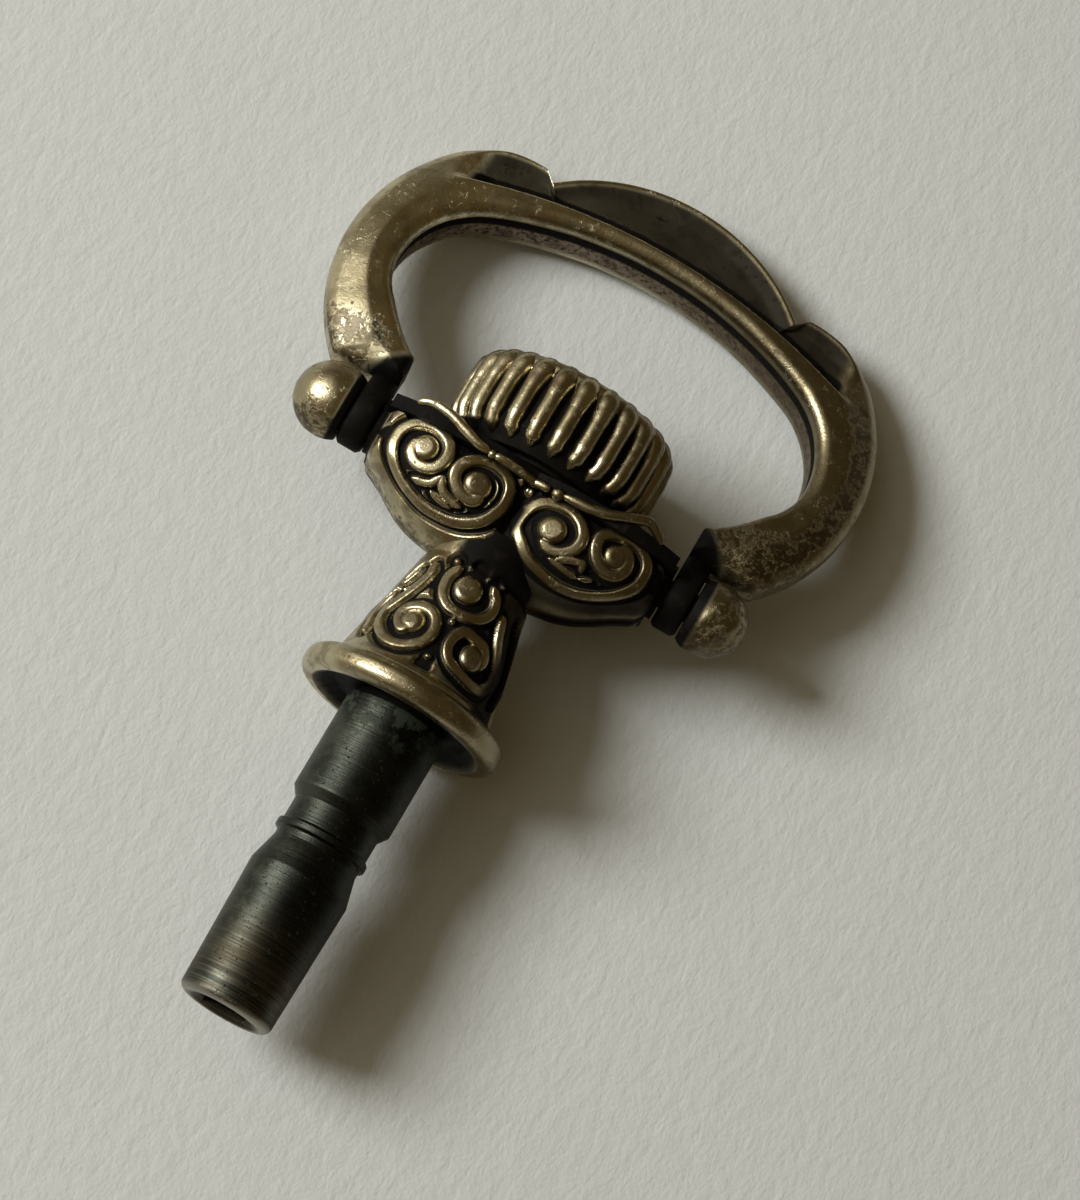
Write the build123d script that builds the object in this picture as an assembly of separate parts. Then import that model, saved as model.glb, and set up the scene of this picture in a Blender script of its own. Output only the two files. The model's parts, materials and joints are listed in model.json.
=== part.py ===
from build123d import *
from math import acos, asin, atan2, cos, degrees, hypot, radians, sin, sqrt
import os

# Pipe: a steel tube with a square socket, its lengths measured from the socket's mouth
pipe_length = 11.6
pipe_diameter = 3.75
nose_length = 5.1
nose_mouth_diameter = 3.46
nose_top_diameter = 3.70
nose_edge_round = 0.30
waist_diameter = 3.16
waist_height = 6.15
ring_diameter = 3.47
ring_start = 6.42
ring_end = 6.74
ring_bevel = 0.09
groove_diameter = 3.22
groove_end = 7.62
shoulder_start = 8.0
socket_across_flats = 1.6
socket_depth = 5.2
mouth_countersink_diameter = 2.5
mouth_countersink_depth = 0.32
pipe_grip_length = 3.0

# Collar: the round flange that the thumb rests on when the key is pushed home
collar_diameter = 7.7
collar_thickness = 1.0
dish_depth = 0.4
dish_mouth_diameter = 6.5
dish_floor_diameter = 5.2

# Neck: the cone between the collar and the head
neck_length = 4.65
neck_base_diameter = 6.16
neck_top_diameter = 4.24
neck_spigot_height = 1.9

# Head: the hollow cross bar, its heights measured from the axis of the bow's pivots
head_drop = 3.2
head_rise = 0.85
head_length = 11.2
head_end_drop = 1.45
head_barrel_radius = 2.65
head_barrel_drop = 0.6
head_end_width = 3.5
head_lobe_width = 5.3
head_valley_width = 4.3
head_wall = 0.45
top_plate_thickness = 0.5
top_plate_lip = 0.06

# Scrolls: panels sunk into the front of head and neck, with the scrolls' eyes left standing in
# them. Shares are (across, down) of the head's half length and drop, and (across, up) of the
# neck's base radius and length
scroll_depth = 0.24
head_eye_diameter = 1.5
head_panel_shares = [(0.82, 0.15), (0.7, 0.5), (0.36, 0.62), (0.14, 0.34), (0.2, -0.04), (0.74, -0.06)]
head_eye_shares = [(0.67, 0.16), (0.3, 0.24)]
neck_eye_diameter = 1.2
neck_panel_shares = [(0.66, -0.1), (0.3, 1), (-0.3, 1), (-0.66, -0.1)]
neck_eye_shares = [(0.38, 0.38), (-0.38, 0.38), (0, 0.76)]

# Pivots: an end boss, a pin and a ball terminal at each end of the head
boss_diameter = 2.1
boss_stand_off = 0.2
boss_seat_length = 1.5
pivot_pin_diameter = 1.1
pivot_pin_grip_length = 1.2
ball_diameter = 2.8
ball_seat_length = 0.7
ball_bore_depth = 1.0

# Spindle: the arbor, the tube it turns in and its washers
arbor_diameter = 1.8
bearing_tube_wall = 0.4
thrust_washer_thickness = 0.25
thrust_washer_diameter = 3.4
seat_washer_thickness = 0.3
seat_washer_diameter = 5.0
arbor_square = 1.2
rivet_washer_diameter = 2.8
rivet_washer_thickness = 0.2
rivet_head_diameter = 2.2
rivet_crown_share = 0.7

# Crown: a fluted shell spun over a core
crown_diameter = 8.04
crown_height = 3.5
crown_base_flare = 0.87
crown_base_height = 0.75
crown_edge_round = 0.62
crown_wall = 0.75
crown_top_wall = 0.8
crown_counterbore_diameter = 3.0
crown_counterbore_depth = 0.45
flute_count = 26
flute_width = 0.44
flute_depth = 0.36
flute_runout = 0.3

# Bow: a cast D hanging back from the pivots by its droop. The foot's height is measured from the
# pivots, the opening stands above the foot, and crest and shoulders rise above the opening
bow_droop_angle = 13.3
bow_thickness = 2.4
opening_half_width = 8.28
opening_foot_rise = 3.49
opening_roof_rise = 4.85
opening_shoulder_radius = 3.8
opening_foot_radius = 2.6
bow_side_width = 2.14
bow_widest_rise = 0.3
bow_foot_inset = 1.92
bow_foot_height = 1.6
bow_foot_wall = 1.01
bow_shoulder_inset = 1.92
bow_shoulder_rise = 0.45
bow_edge_bevel = 0.34
bow_bevel_limit_share = 0.475
ridge_width = 0.72
ridge_radius_share = 1.51
crest_rise = 3.25
crest_thickness = 1.5
crest_notch_half_width = 5.15
crest_notch_rise = 1.05
crest_notch_slope = 0.22
crest_notch_depth = 0.42
crest_half_lobe_inset = 1.3
crest_half_lobe_rise = 1.25
eye_thickness = 0.95

# Small rounds are turned as this many flats, and the eye of a scroll has this many sides
round_flats = 2
eye_sides = 6

# Fits and clearances
running_clearance = 0.04
side_clearance = 0.07
seat_clearance = 0.03
solder_gap = 0.02
crown_rim_clearance = 0.1
overrun = 1.0

# Places along the pipe's axis that follow from the sizes above
collar_top = pipe_length + collar_thickness
dish_floor = pipe_length + dish_depth
head_bottom = collar_top + neck_length
pivot_height = head_bottom + head_drop
head_top = pivot_height + head_rise
thrust_washer_top = dish_floor - seat_clearance
pipe_top = thrust_washer_top - thrust_washer_thickness
crown_bottom = head_top + crown_rim_clearance
crown_top = crown_bottom + crown_height
core_bottom = head_top + seat_clearance + seat_washer_thickness
core_top = crown_top - crown_top_wall
counterbore_floor = crown_top - crown_counterbore_depth

arbor_radius = arbor_diameter / 2
tube_bore_radius = arbor_radius + running_clearance
tube_radius = tube_bore_radius + bearing_tube_wall

head_half_length = head_length / 2
eye_start = head_half_length + boss_stand_off + side_clearance
eye_end = eye_start + eye_thickness
ball_face = eye_end + side_clearance
ball_centre = ball_face + ball_seat_length

# The bow's opening stands on the walls of its feet, and its outer outline follows the opening
foot_floor = bow_foot_height + bow_foot_wall
opening_widest_height = foot_floor + opening_foot_rise
opening_top = opening_widest_height + opening_roof_rise
bow_half_width = opening_half_width + bow_side_width
bow_widest_height = opening_widest_height + bow_widest_rise
bow_shoulder_height = opening_top + bow_shoulder_rise
crest_height = opening_top + crest_rise
crest_notch_height = opening_top + crest_notch_rise


def turned(points):
    """A solid of revolution about the pipe's axis from (radius, height) points."""
    return revolve(make_face(Polyline(*points, close=True)), Axis.Y)


def round_bar(radius, start, end):
    """A round bar along the pipe's axis."""
    return turned([(0, start), (radius, start), (radius, end), (0, end)])


def round_points(centre, radius, start, end):
    """Points of a small round about its centre, from one angle to another, ends included."""
    turn = (end - start) / round_flats
    angles = [radians(start + step * turn) for step in range(round_flats + 1)]
    return [(centre[0] + radius * cos(angle), centre[1] + radius * sin(angle)) for angle in angles]


def washer(outer_radius, bore_radius, start, end):
    """A flat ring about the pipe's axis."""
    return turned([(bore_radius, start), (outer_radius, start), (outer_radius, end), (bore_radius, end)])


def square_bar(across_flats, start, end):
    """A square bar along the pipe's axis."""
    bar = Box(across_flats, end - start, across_flats)
    return Pos(0, (start + end) / 2, 0) * bar


def cross_bar(radius, start, end):
    """A round bar along the pivots' axis, placed at their height."""
    bar = Rot(Y=90) * Cylinder(radius, end - start)
    return Pos((start + end) / 2, pivot_height, 0) * bar


def make_pipe():
    """The turned pipe with its waist, ring, groove and shoulder, and the square socket."""
    mouth = nose_mouth_diameter / 2
    nose = nose_top_diameter / 2
    waist = waist_diameter / 2
    ring = ring_diameter / 2
    groove = groove_diameter / 2
    body = pipe_diameter / 2
    nose_centre = (mouth - nose_edge_round, nose_edge_round)
    outline = [(0, 0)] + round_points(nose_centre, nose_edge_round, -90, 0)
    outline += [(nose, nose_length), (waist, waist_height), (waist, ring_start)]
    outline += [(ring, ring_start + ring_bevel), (ring, ring_end - ring_bevel), (groove, ring_end)]
    outline += [(groove, groove_end), (body, shoulder_start), (body, pipe_top), (0, pipe_top)]
    pipe = turned(outline)
    pipe -= square_bar(socket_across_flats, -overrun, socket_depth)
    pipe -= turned(
        [
            (0, -overrun),
            (mouth_countersink_diameter / 2, -overrun),
            (mouth_countersink_diameter / 2, 0),
            (socket_across_flats / 2, mouth_countersink_depth),
            (0, mouth_countersink_depth),
        ]
    )
    pipe -= round_bar(arbor_radius + solder_gap, pipe_top - pipe_grip_length, pipe_top + overrun)
    return pipe


def make_arbor():
    """The steel arbor: round in its tube, square in the crown, riveted over at the top."""
    washer_top = counterbore_floor + rivet_washer_thickness
    round_part = round_bar(arbor_radius, pipe_top - pipe_grip_length + seat_clearance, core_bottom)
    square_part = square_bar(arbor_square, core_bottom, washer_top)
    rim = rivet_head_diameter / 2
    crown = rim * rivet_crown_share
    rivet = turned([(0, washer_top), (rim, washer_top), (crown, crown_top), (0, crown_top)])
    return round_part + square_part + rivet


def make_collar():
    """The turned collar: its whole edge is round, with a dish below where the pipe enters."""
    edge_round = collar_thickness / 2
    edge_centre = (collar_diameter / 2 - edge_round, pipe_length + edge_round)
    outline = [(0, pipe_length)] + round_points(edge_centre, edge_round, -90, 0)
    outline += round_points(edge_centre, edge_round, 0, 90)[1:] + [(0, collar_top)]
    ring = turned(outline)
    ring -= turned(
        [
            (0, pipe_length - overrun),
            (dish_mouth_diameter / 2, pipe_length - overrun),
            (dish_mouth_diameter / 2, pipe_length),
            (dish_floor_diameter / 2, dish_floor),
            (0, dish_floor),
        ]
    )
    ring -= round_bar(tube_radius + solder_gap, pipe_length, collar_top + overrun)
    return ring


def scroll_panel(outline, eyes, eye_diameter):
    """A tall prism over the front of a panel, less the eyes of its scrolls."""
    face = make_face(Polyline(*outline, close=True))
    for eye in eyes:
        face -= Pos(*eye) * RegularPolygon(eye_diameter / 2, eye_sides)
    return extrude(face, 2 * head_lobe_width)


def neck_form(inset):
    """The solid cone of the neck, drawn in by the inset."""
    base = neck_base_diameter / 2 - inset
    top = neck_top_diameter / 2 - inset
    return turned([(0, collar_top), (base, collar_top), (top, head_bottom), (0, head_bottom)])


def make_neck():
    """The cone of the neck with its scroll panel in front and the spigot that enters the head."""
    top = head_bottom + neck_spigot_height
    across = neck_base_diameter / 2
    outline = [(x * across, collar_top + y * neck_length) for x, y in neck_panel_shares]
    eyes = [(x * across, collar_top + y * neck_length) for x, y in neck_eye_shares]
    panel = scroll_panel(outline, eyes, neck_eye_diameter) - neck_form(scroll_depth)
    neck = neck_form(0) - panel
    neck += round_bar(neck_top_diameter / 2, head_bottom, top)
    return neck - round_bar(tube_radius + solder_gap, collar_top - overrun, top + overrun)


def make_bearing_tube():
    """The brass tube that lines the neck and the head, in which the arbor turns."""
    return washer(tube_radius, tube_bore_radius, dish_floor, head_top)


def head_form(inset):
    """The solid form of the head, drawn in by the inset, about the pivots' axis."""
    half_length = head_half_length - inset
    end_drop = head_end_drop - inset
    drop = head_drop - inset
    front = make_face(
        [
            Line((-half_length, head_rise), (half_length, head_rise)),
            Line((half_length, head_rise), (half_length, -end_drop)),
            ThreePointArc((half_length, -end_drop), (0, -drop), (-half_length, -end_drop)),
            Line((-half_length, -end_drop), (-half_length, head_rise)),
        ]
    )
    slab = extrude(front, head_lobe_width, both=True)
    barrel = Rot(Y=90) * Cylinder(head_barrel_radius - inset, 2 * half_length)
    return slab & (Pos(0, -head_barrel_drop, 0) * barrel) & plan_form(inset)


def plan_form(inset):
    """The head seen from the crown: two lobes with a valley between them, as a tall prism."""
    half_length = head_half_length - inset
    end = head_end_width / 2 - inset
    lobe = head_lobe_width / 2 - inset
    valley = head_valley_width / 2 - inset
    edges = []
    for side in (-1, 1):
        edges.append(Line((side * half_length, -end), (side * half_length, end)))
        for across in (-1, 1):
            swell = (side * half_length / 2, across * lobe)
            edges.append(ThreePointArc((0, across * valley), swell, (side * half_length, across * end)))
    face = make_face(edges)
    prism = extrude(face, 2 * head_drop, both=True)
    return Rot(X=90) * prism


def head_panel():
    """The cut that sinks the scroll panel of the right lobe into the front of the head."""
    outline = [(x * head_half_length, -y * head_drop) for x, y in head_panel_shares]
    eyes = [(x * head_half_length, -y * head_drop) for x, y in head_eye_shares]
    return scroll_panel(outline, eyes, head_eye_diameter) - head_form(scroll_depth)


def make_head_shell(side):
    """A stamped shell of the head: side is 1 for the front, with the scrolls, and -1 for the back."""
    plate_bottom = head_rise - top_plate_thickness
    shell = head_form(0) - head_form(head_wall)
    half_space = Box(2 * head_length, 2 * head_length, head_length)
    shell &= Pos(0, plate_bottom - head_length, side * head_length / 2) * half_space
    if side > 0:
        panel = head_panel()
        shell -= [panel, mirror(panel, Plane.YZ)]
    shell = Pos(0, pivot_height, 0) * shell
    spigot_top = head_bottom + neck_spigot_height + solder_gap
    shell -= round_bar(neck_top_diameter / 2 + solder_gap, head_bottom - overrun, spigot_top)
    for end in (-1, 1):
        start = head_half_length - boss_seat_length
        hole = cross_bar(boss_diameter / 2 + solder_gap, start, head_half_length + overrun)
        shell -= hole if end > 0 else mirror(hole, Plane.YZ)
    return shell


def make_top_plate():
    """The plate that closes the head below the crown, its edge rounded into a rib."""
    outline = plan_form(-top_plate_lip)
    plate = outline & Box(2 * head_length, top_plate_thickness, head_barrel_radius * 2 - top_plate_lip)
    plate = Pos(0, head_top - top_plate_thickness / 2, 0) * plate
    plate -= round_bar(tube_radius + solder_gap, pivot_height - overrun, head_top + overrun)
    seat = cross_bar(boss_diameter / 2 + solder_gap, head_half_length - boss_seat_length, head_length)
    return plate - [seat, mirror(seat, Plane.YZ)]


def make_end_boss(side):
    """The boss that closes one end of the head and holds the pivot pin."""
    end = head_half_length + boss_stand_off
    boss = cross_bar(boss_diameter / 2, head_half_length - boss_seat_length, end)
    boss -= cross_bar(pivot_pin_diameter / 2 + solder_gap, end - pivot_pin_grip_length, end + overrun)
    return boss if side > 0 else mirror(boss, Plane.YZ)


def make_pivot_pin(side):
    """The pin through the eye of the bow, screwed into the boss and the ball."""
    start = head_half_length + boss_stand_off - pivot_pin_grip_length + seat_clearance
    pin = cross_bar(pivot_pin_diameter / 2, start, ball_face + ball_bore_depth)
    return pin if side > 0 else mirror(pin, Plane.YZ)


def make_ball(side):
    """The ball terminal, faced flat where it meets the eye of the bow."""
    ball = Pos(ball_centre, pivot_height, 0) * Rot(Y=90) * Sphere(ball_diameter / 2)
    ball -= cross_bar(ball_diameter, ball_face - ball_diameter, ball_face)
    bore_floor = ball_face + ball_bore_depth
    ball -= cross_bar(pivot_pin_diameter / 2 + solder_gap, ball_face - overrun, bore_floor)
    return ball if side > 0 else mirror(ball, Plane.YZ)


def make_crown_shell():
    """The fluted shell of the crown, open below, with a counterbore for the riveted washer."""
    wide = crown_diameter / 2
    base = wide - crown_base_flare
    inside = wide - crown_wall
    mouth = base - crown_wall / 2
    round_start = crown_top - crown_edge_round
    edge_centre = (wide - crown_edge_round, round_start)
    outline = [(0, crown_bottom), (base, crown_bottom), (wide, crown_bottom + crown_base_height)]
    outline += round_points(edge_centre, crown_edge_round, 0, 90) + [(0, crown_top)]
    shell = turned(outline)
    shell -= turned(
        [
            (0, crown_bottom - overrun),
            (mouth, crown_bottom - overrun),
            (mouth, core_bottom),
            (inside, core_bottom),
            (inside, core_top),
            (0, core_top),
        ]
    )
    shell -= round_bar(crown_counterbore_diameter / 2, counterbore_floor, crown_top + overrun)
    shell -= square_bar(arbor_square + 2 * solder_gap, crown_bottom, crown_top)
    return shell - make_flutes()


def make_flutes():
    """The slots of the crown's flutes, which run out below the round of its top edge."""
    outside = crown_diameter / 2
    floor = outside - flute_depth
    start = crown_bottom - overrun
    stop = crown_top - crown_edge_round
    profile = [(start, floor), (stop - flute_runout, floor), (stop, outside), (start, outside)]
    side = Plane.YZ * make_face(Polyline(*profile, close=True))
    cutter = extrude(side, flute_width / 2, both=True)
    turn = 360 / flute_count
    return [Rot(Y=index * turn) * cutter for index in range(flute_count)]


def make_crown_core():
    """The core that fills the crown and takes the arbor's square."""
    radius = crown_diameter / 2 - crown_wall - solder_gap
    core = round_bar(radius, core_bottom, core_top - solder_gap)
    return core - square_bar(arbor_square + 2 * solder_gap, crown_bottom, crown_top)


def roof_radius():
    """The radius of the opening's roof, an arc that runs into both shoulders without a corner."""
    reach = opening_half_width - opening_shoulder_radius
    span = opening_roof_rise - opening_shoulder_radius
    return (reach**2 + opening_roof_rise**2 - opening_shoulder_radius**2) / (2 * span)


def opening_edges():
    """The right half of the opening's outline about the pivots, from its top to the foot."""
    reach = opening_half_width - opening_shoulder_radius
    roof_turn = 90 - degrees(acos(reach / (roof_radius() - opening_shoulder_radius)))
    roof = JernArc((0, opening_top), (1, 0), roof_radius(), -roof_turn)
    corner = JernArc(roof @ 1, roof % 1, opening_shoulder_radius, roof_turn - 90)
    across = opening_half_width - opening_foot_radius - eye_start
    slant = opening_foot_radius / hypot(across, opening_foot_rise)
    foot_turn = degrees(atan2(across, opening_foot_rise) + asin(slant))
    lower = JernArc(corner @ 1, corner % 1, opening_foot_radius, -foot_turn)
    foot = Line(lower @ 1, (eye_start, foot_floor))
    return [roof, corner, lower, foot]


def bow_shoulder():
    """The point where the bow's side meets the half lobe of its crest."""
    return (bow_half_width - bow_shoulder_inset, bow_shoulder_height)


def side_radius(point):
    """The radius of the arc that leaves the bow's widest point upright and meets the given point."""
    run = bow_half_width - point[0]
    rise = point[1] - bow_widest_height
    return (run**2 + rise**2) / (2 * run)


def bow_face(top_edges):
    """The bow's flat face about its pivots: its top edges, sides and feet, less the opening."""
    inner = opening_edges()
    foot_inner = inner[-1] @ 1
    top = top_edges[0] @ 0
    shoulder = bow_shoulder()
    widest = (bow_half_width, bow_widest_height)
    foot = (bow_half_width - bow_foot_inset, bow_foot_height)
    outer = [
        RadiusArc(shoulder, widest, side_radius(shoulder)),
        RadiusArc(widest, foot, side_radius(foot)),
        Line(foot, (eye_start, bow_foot_height)),
        Line((eye_start, bow_foot_height), foot_inner),
    ]
    half = make_face(inner + top_edges + outer + [Line((0, opening_top), top)])
    return half + mirror(half, Plane.YZ)


def ridge_disc(inset):
    """The disc whose edge is the outer line of the ridge, flatter than the roof, less the inset."""
    radius = roof_radius() * ridge_radius_share
    return Pos(0, opening_top + ridge_width - radius) * Circle(radius - inset)


def make_band():
    """The D-shaped band with its rounded edges, only a ridge wide where the crest stands."""
    shoulder = bow_shoulder()
    corner = (shoulder[0], crest_height)
    roof = [Line((0, crest_height), corner), Line(corner, shoulder)]
    band = extrude(bow_face(roof) & ridge_disc(0), bow_thickness / 2, both=True)
    rims = band.edges().filter_by(Plane.XY)
    rims = rims.filter_by(lambda edge: edge.center().Y > bow_foot_height + solder_gap)
    return chamfer(rims, min(bow_edge_bevel, bow_bevel_limit_share * ridge_width))


def make_crest():
    """The crest outside the ridge: a centre lobe between two half lobes, thinner than the band."""
    notch = (crest_notch_half_width, crest_notch_height)
    lobe_start = (notch[0] + crest_notch_slope, notch[1] + crest_notch_depth)
    shoulder = bow_shoulder()
    lobe_middle = (shoulder[0] - crest_half_lobe_inset, opening_top + crest_half_lobe_rise)
    fall = crest_height - notch[1]
    centre_radius = (notch[0] ** 2 + fall**2) / (2 * fall)
    lobes = [
        RadiusArc((0, crest_height), notch, centre_radius),
        Line(notch, lobe_start),
        ThreePointArc(lobe_start, lobe_middle, shoulder),
    ]
    return extrude(bow_face(lobes) - ridge_disc(ridge_width / 2), crest_thickness / 2, both=True)


def make_eye(side):
    """The flat eye below the foot of the bow, pierced for the pivot pin."""
    middle = side * (eye_start + eye_end) / 2
    eye = Pos(middle, 0, 0) * Rot(Y=90) * Cylinder(bow_thickness / 2, eye_thickness)
    leg_top = bow_foot_height + bow_edge_bevel
    return eye + Pos(middle, leg_top / 2, 0) * Box(eye_thickness, leg_top, bow_thickness)


def make_bow():
    """The whole casting of the bow, hanging back from the pivots by its droop."""
    bow = make_band() + make_crest() + make_eye(-1) + make_eye(1)
    hole = Rot(Y=90) * Cylinder(pivot_pin_diameter / 2 + running_clearance, 4 * bow_half_width)
    bow -= hole
    return Pos(0, pivot_height, 0) * Rot(X=-bow_droop_angle) * bow


def make_parts():
    """Every piece of the key by the name of its node."""
    rivet_bore = arbor_square / sqrt(2) + solder_gap
    rivet_top = counterbore_floor + rivet_washer_thickness
    seat_bottom = head_top + seat_clearance
    parts = {
        "pipe": make_pipe(),
        "arbor": make_arbor(),
        "thrust_washer": washer(
            thrust_washer_diameter / 2, tube_bore_radius, pipe_top, thrust_washer_top
        ),
        "seat_washer": washer(seat_washer_diameter / 2, tube_bore_radius, seat_bottom, core_bottom),
        "crown_shell": make_crown_shell(),
        "crown_core": make_crown_core(),
        "rivet_washer": washer(rivet_washer_diameter / 2, rivet_bore, counterbore_floor, rivet_top),
        "collar": make_collar(),
        "neck": make_neck(),
        "bearing_tube": make_bearing_tube(),
        "head_front_shell": make_head_shell(1),
        "head_back_shell": make_head_shell(-1),
        "head_top_plate": make_top_plate(),
        "bow": make_bow(),
    }
    for name, side in (("left", -1), ("right", 1)):
        parts["end_boss_" + name] = make_end_boss(side)
        parts["pivot_pin_" + name] = make_pivot_pin(side)
        parts["ball_" + name] = make_ball(side)
    return parts


def main():
    os.makedirs("parts", exist_ok=True)
    for name, solid in make_parts().items():
        export_step(solid, "parts/" + name + ".step")


main()
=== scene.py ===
import json
import math

import bmesh
import bpy
import numpy as np
from bpy.props import FloatProperty, FloatVectorProperty, IntProperty, PointerProperty
from mathutils import Matrix, Vector
from mathutils.kdtree import KDTree


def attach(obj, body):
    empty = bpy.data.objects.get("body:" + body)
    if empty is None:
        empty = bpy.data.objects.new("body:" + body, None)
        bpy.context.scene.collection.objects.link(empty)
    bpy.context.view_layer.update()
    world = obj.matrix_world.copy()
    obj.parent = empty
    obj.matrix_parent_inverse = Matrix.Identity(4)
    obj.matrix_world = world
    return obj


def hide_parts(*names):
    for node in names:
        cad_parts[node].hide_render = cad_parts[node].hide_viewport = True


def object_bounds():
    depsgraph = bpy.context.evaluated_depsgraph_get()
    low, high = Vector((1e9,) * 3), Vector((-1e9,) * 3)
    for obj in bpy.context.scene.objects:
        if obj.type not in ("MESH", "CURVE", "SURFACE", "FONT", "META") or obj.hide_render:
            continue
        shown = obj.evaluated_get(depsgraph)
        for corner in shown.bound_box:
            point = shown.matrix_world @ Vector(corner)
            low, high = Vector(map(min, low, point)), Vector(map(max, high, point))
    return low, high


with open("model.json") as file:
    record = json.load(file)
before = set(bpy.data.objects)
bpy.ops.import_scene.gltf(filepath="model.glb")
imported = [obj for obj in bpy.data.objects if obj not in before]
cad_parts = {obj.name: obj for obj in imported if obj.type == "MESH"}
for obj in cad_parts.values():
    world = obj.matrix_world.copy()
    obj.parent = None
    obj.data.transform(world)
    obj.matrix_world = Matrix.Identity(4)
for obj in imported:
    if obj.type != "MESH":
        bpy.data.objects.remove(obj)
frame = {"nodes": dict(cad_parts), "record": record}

bl_info = {
    "name": "Watch key",
    "version": (1, 0, 0),
    "blender": (4, 5, 0),
    "location": "View3D > Sidebar > Watch key",
    "description": "Dresses the pendant-shaped watch key with its castings, turned pieces and finishes",
    "category": "Add Mesh",
}

MM = 0.001
CAD_BOX = [list(corner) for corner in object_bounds()]

# Sizes below are in millimetres: x along the head's bar, s above the pivots, z towards the viewer
PIVOT = 20.45
ROUND_SEGMENTS = 160

# Scrolls of the head: half width of the band and knots (x, s) of its centreline
HEAD_BANDS = {
    "left_scroll": (0.24, [
        (-4.09, -0.33), (-4.22, -0.62), (-4.16, -0.9), (-3.87, -1.14), (-3.48, -1.15),
        (-3.15, -0.94), (-3.01, -0.49), (-3.1, -0.05), (-3.39, 0.25), (-3.82, 0.38), (-4.24, 0.34),
        (-4.57, 0.18), (-4.82, -0.14), (-4.91, -0.51), (-4.86, -0.94), (-4.66, -1.31),
        (-4.35, -1.62), (-3.93, -1.9), (-3.46, -2.1), (-2.92, -2.26), (-2.31, -2.29),
        (-1.74, -2.23), (-1.26, -2.04), (-0.85, -1.72), (-0.59, -1.24), (-0.49, -0.72),
        (-0.6, -0.2), (-0.9, 0.12), (-1.3, 0.24), (-1.75, 0.22), (-2.14, 0.03), (-2.42, -0.3),
        (-2.51, -0.68), (-2.42, -0.99), (-2.17, -1.24), (-1.83, -1.38), (-1.5, -1.34),
        (-1.3, -1.08),
    ]),
    "left_leaf_a": (0.17, [(-3.66, -1.64), (-3.33, -1.63), (-3.02, -1.5), (-2.86, -1.18)]),
    "left_leaf_b": (0.17, [(-2.79, -1.15), (-2.6, -1.52), (-2.18, -1.71), (-1.81, -1.74)]),
    "left_leaf_c": (0.13, [(-2.89, -1.76), (-2.57, -1.86), (-2.08, -1.92)]),
    "right_scroll": (0.24, [
        (1.26, -1.34), (1.68, -1.45), (2.1, -1.31), (2.39, -0.95), (2.4, -0.48), (2.15, -0.08),
        (1.76, 0.16), (1.33, 0.21), (0.88, 0.12), (0.52, -0.11), (0.28, -0.49), (0.19, -0.96),
        (0.26, -1.32), (0.61, -1.67), (1.03, -2.01), (1.51, -2.2), (2.09, -2.3), (2.66, -2.3),
        (3.21, -2.2), (3.79, -1.96), (4.31, -1.62), (4.68, -1.22), (4.87, -0.8), (4.88, -0.27),
        (4.7, 0.1), (4.36, 0.34), (3.96, 0.42), (3.57, 0.38), (3.22, 0.25), (2.95, 0.0),
        (2.92, -0.37), (3.06, -0.75), (3.37, -1.05), (3.75, -1.15), (4.08, -1.0), (4.23, -0.65),
        (4.15, -0.28), (3.96, -0.08), (3.69, -0.16),
    ]),
    "right_leaf_a": (0.16, [(1.79, -1.71), (2.13, -1.76), (2.56, -1.8), (2.88, -1.81)]),
    "right_leaf_b": (0.13, [(3.01, -1.78), (3.39, -1.64)]),
    "right_leaf_c": (0.17, [(2.02, -1.59), (2.46, -1.4), (2.82, -1.34), (2.92, -1.55)]),
}

# Standing eyes and knobs, as (x, s, radius)
HEAD_BEADS = (
    (-3.84, -0.46, 0.5), (-1.62, -0.74, 0.52), (1.36, -0.76, 0.54), (3.74, -0.46, 0.48),
    (0.02, 0.16, 0.18),
)

# Sunk and blackened places between the scrolls, as (x, s, radius)
HEAD_HOLLOWS = (
    (0.0, -0.15, 0.5), (-0.1, -0.8, 0.4), (-0.1, -1.5, 0.36), (-2.45, 0.5, 0.5), (-1.6, 0.62, 0.3),
    (-3.3, 0.62, 0.3), (0.7, 0.55, 0.3), (1.5, 0.62, 0.3), (2.5, 0.5, 0.5), (3.4, 0.66, 0.3),
    (4.6, 0.55, 0.3), (-5.3, -0.5, 0.3), (5.25, -0.3, 0.45), (2.66, -0.75, 0.2),
    (-2.75, -0.35, 0.2),
)

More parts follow.
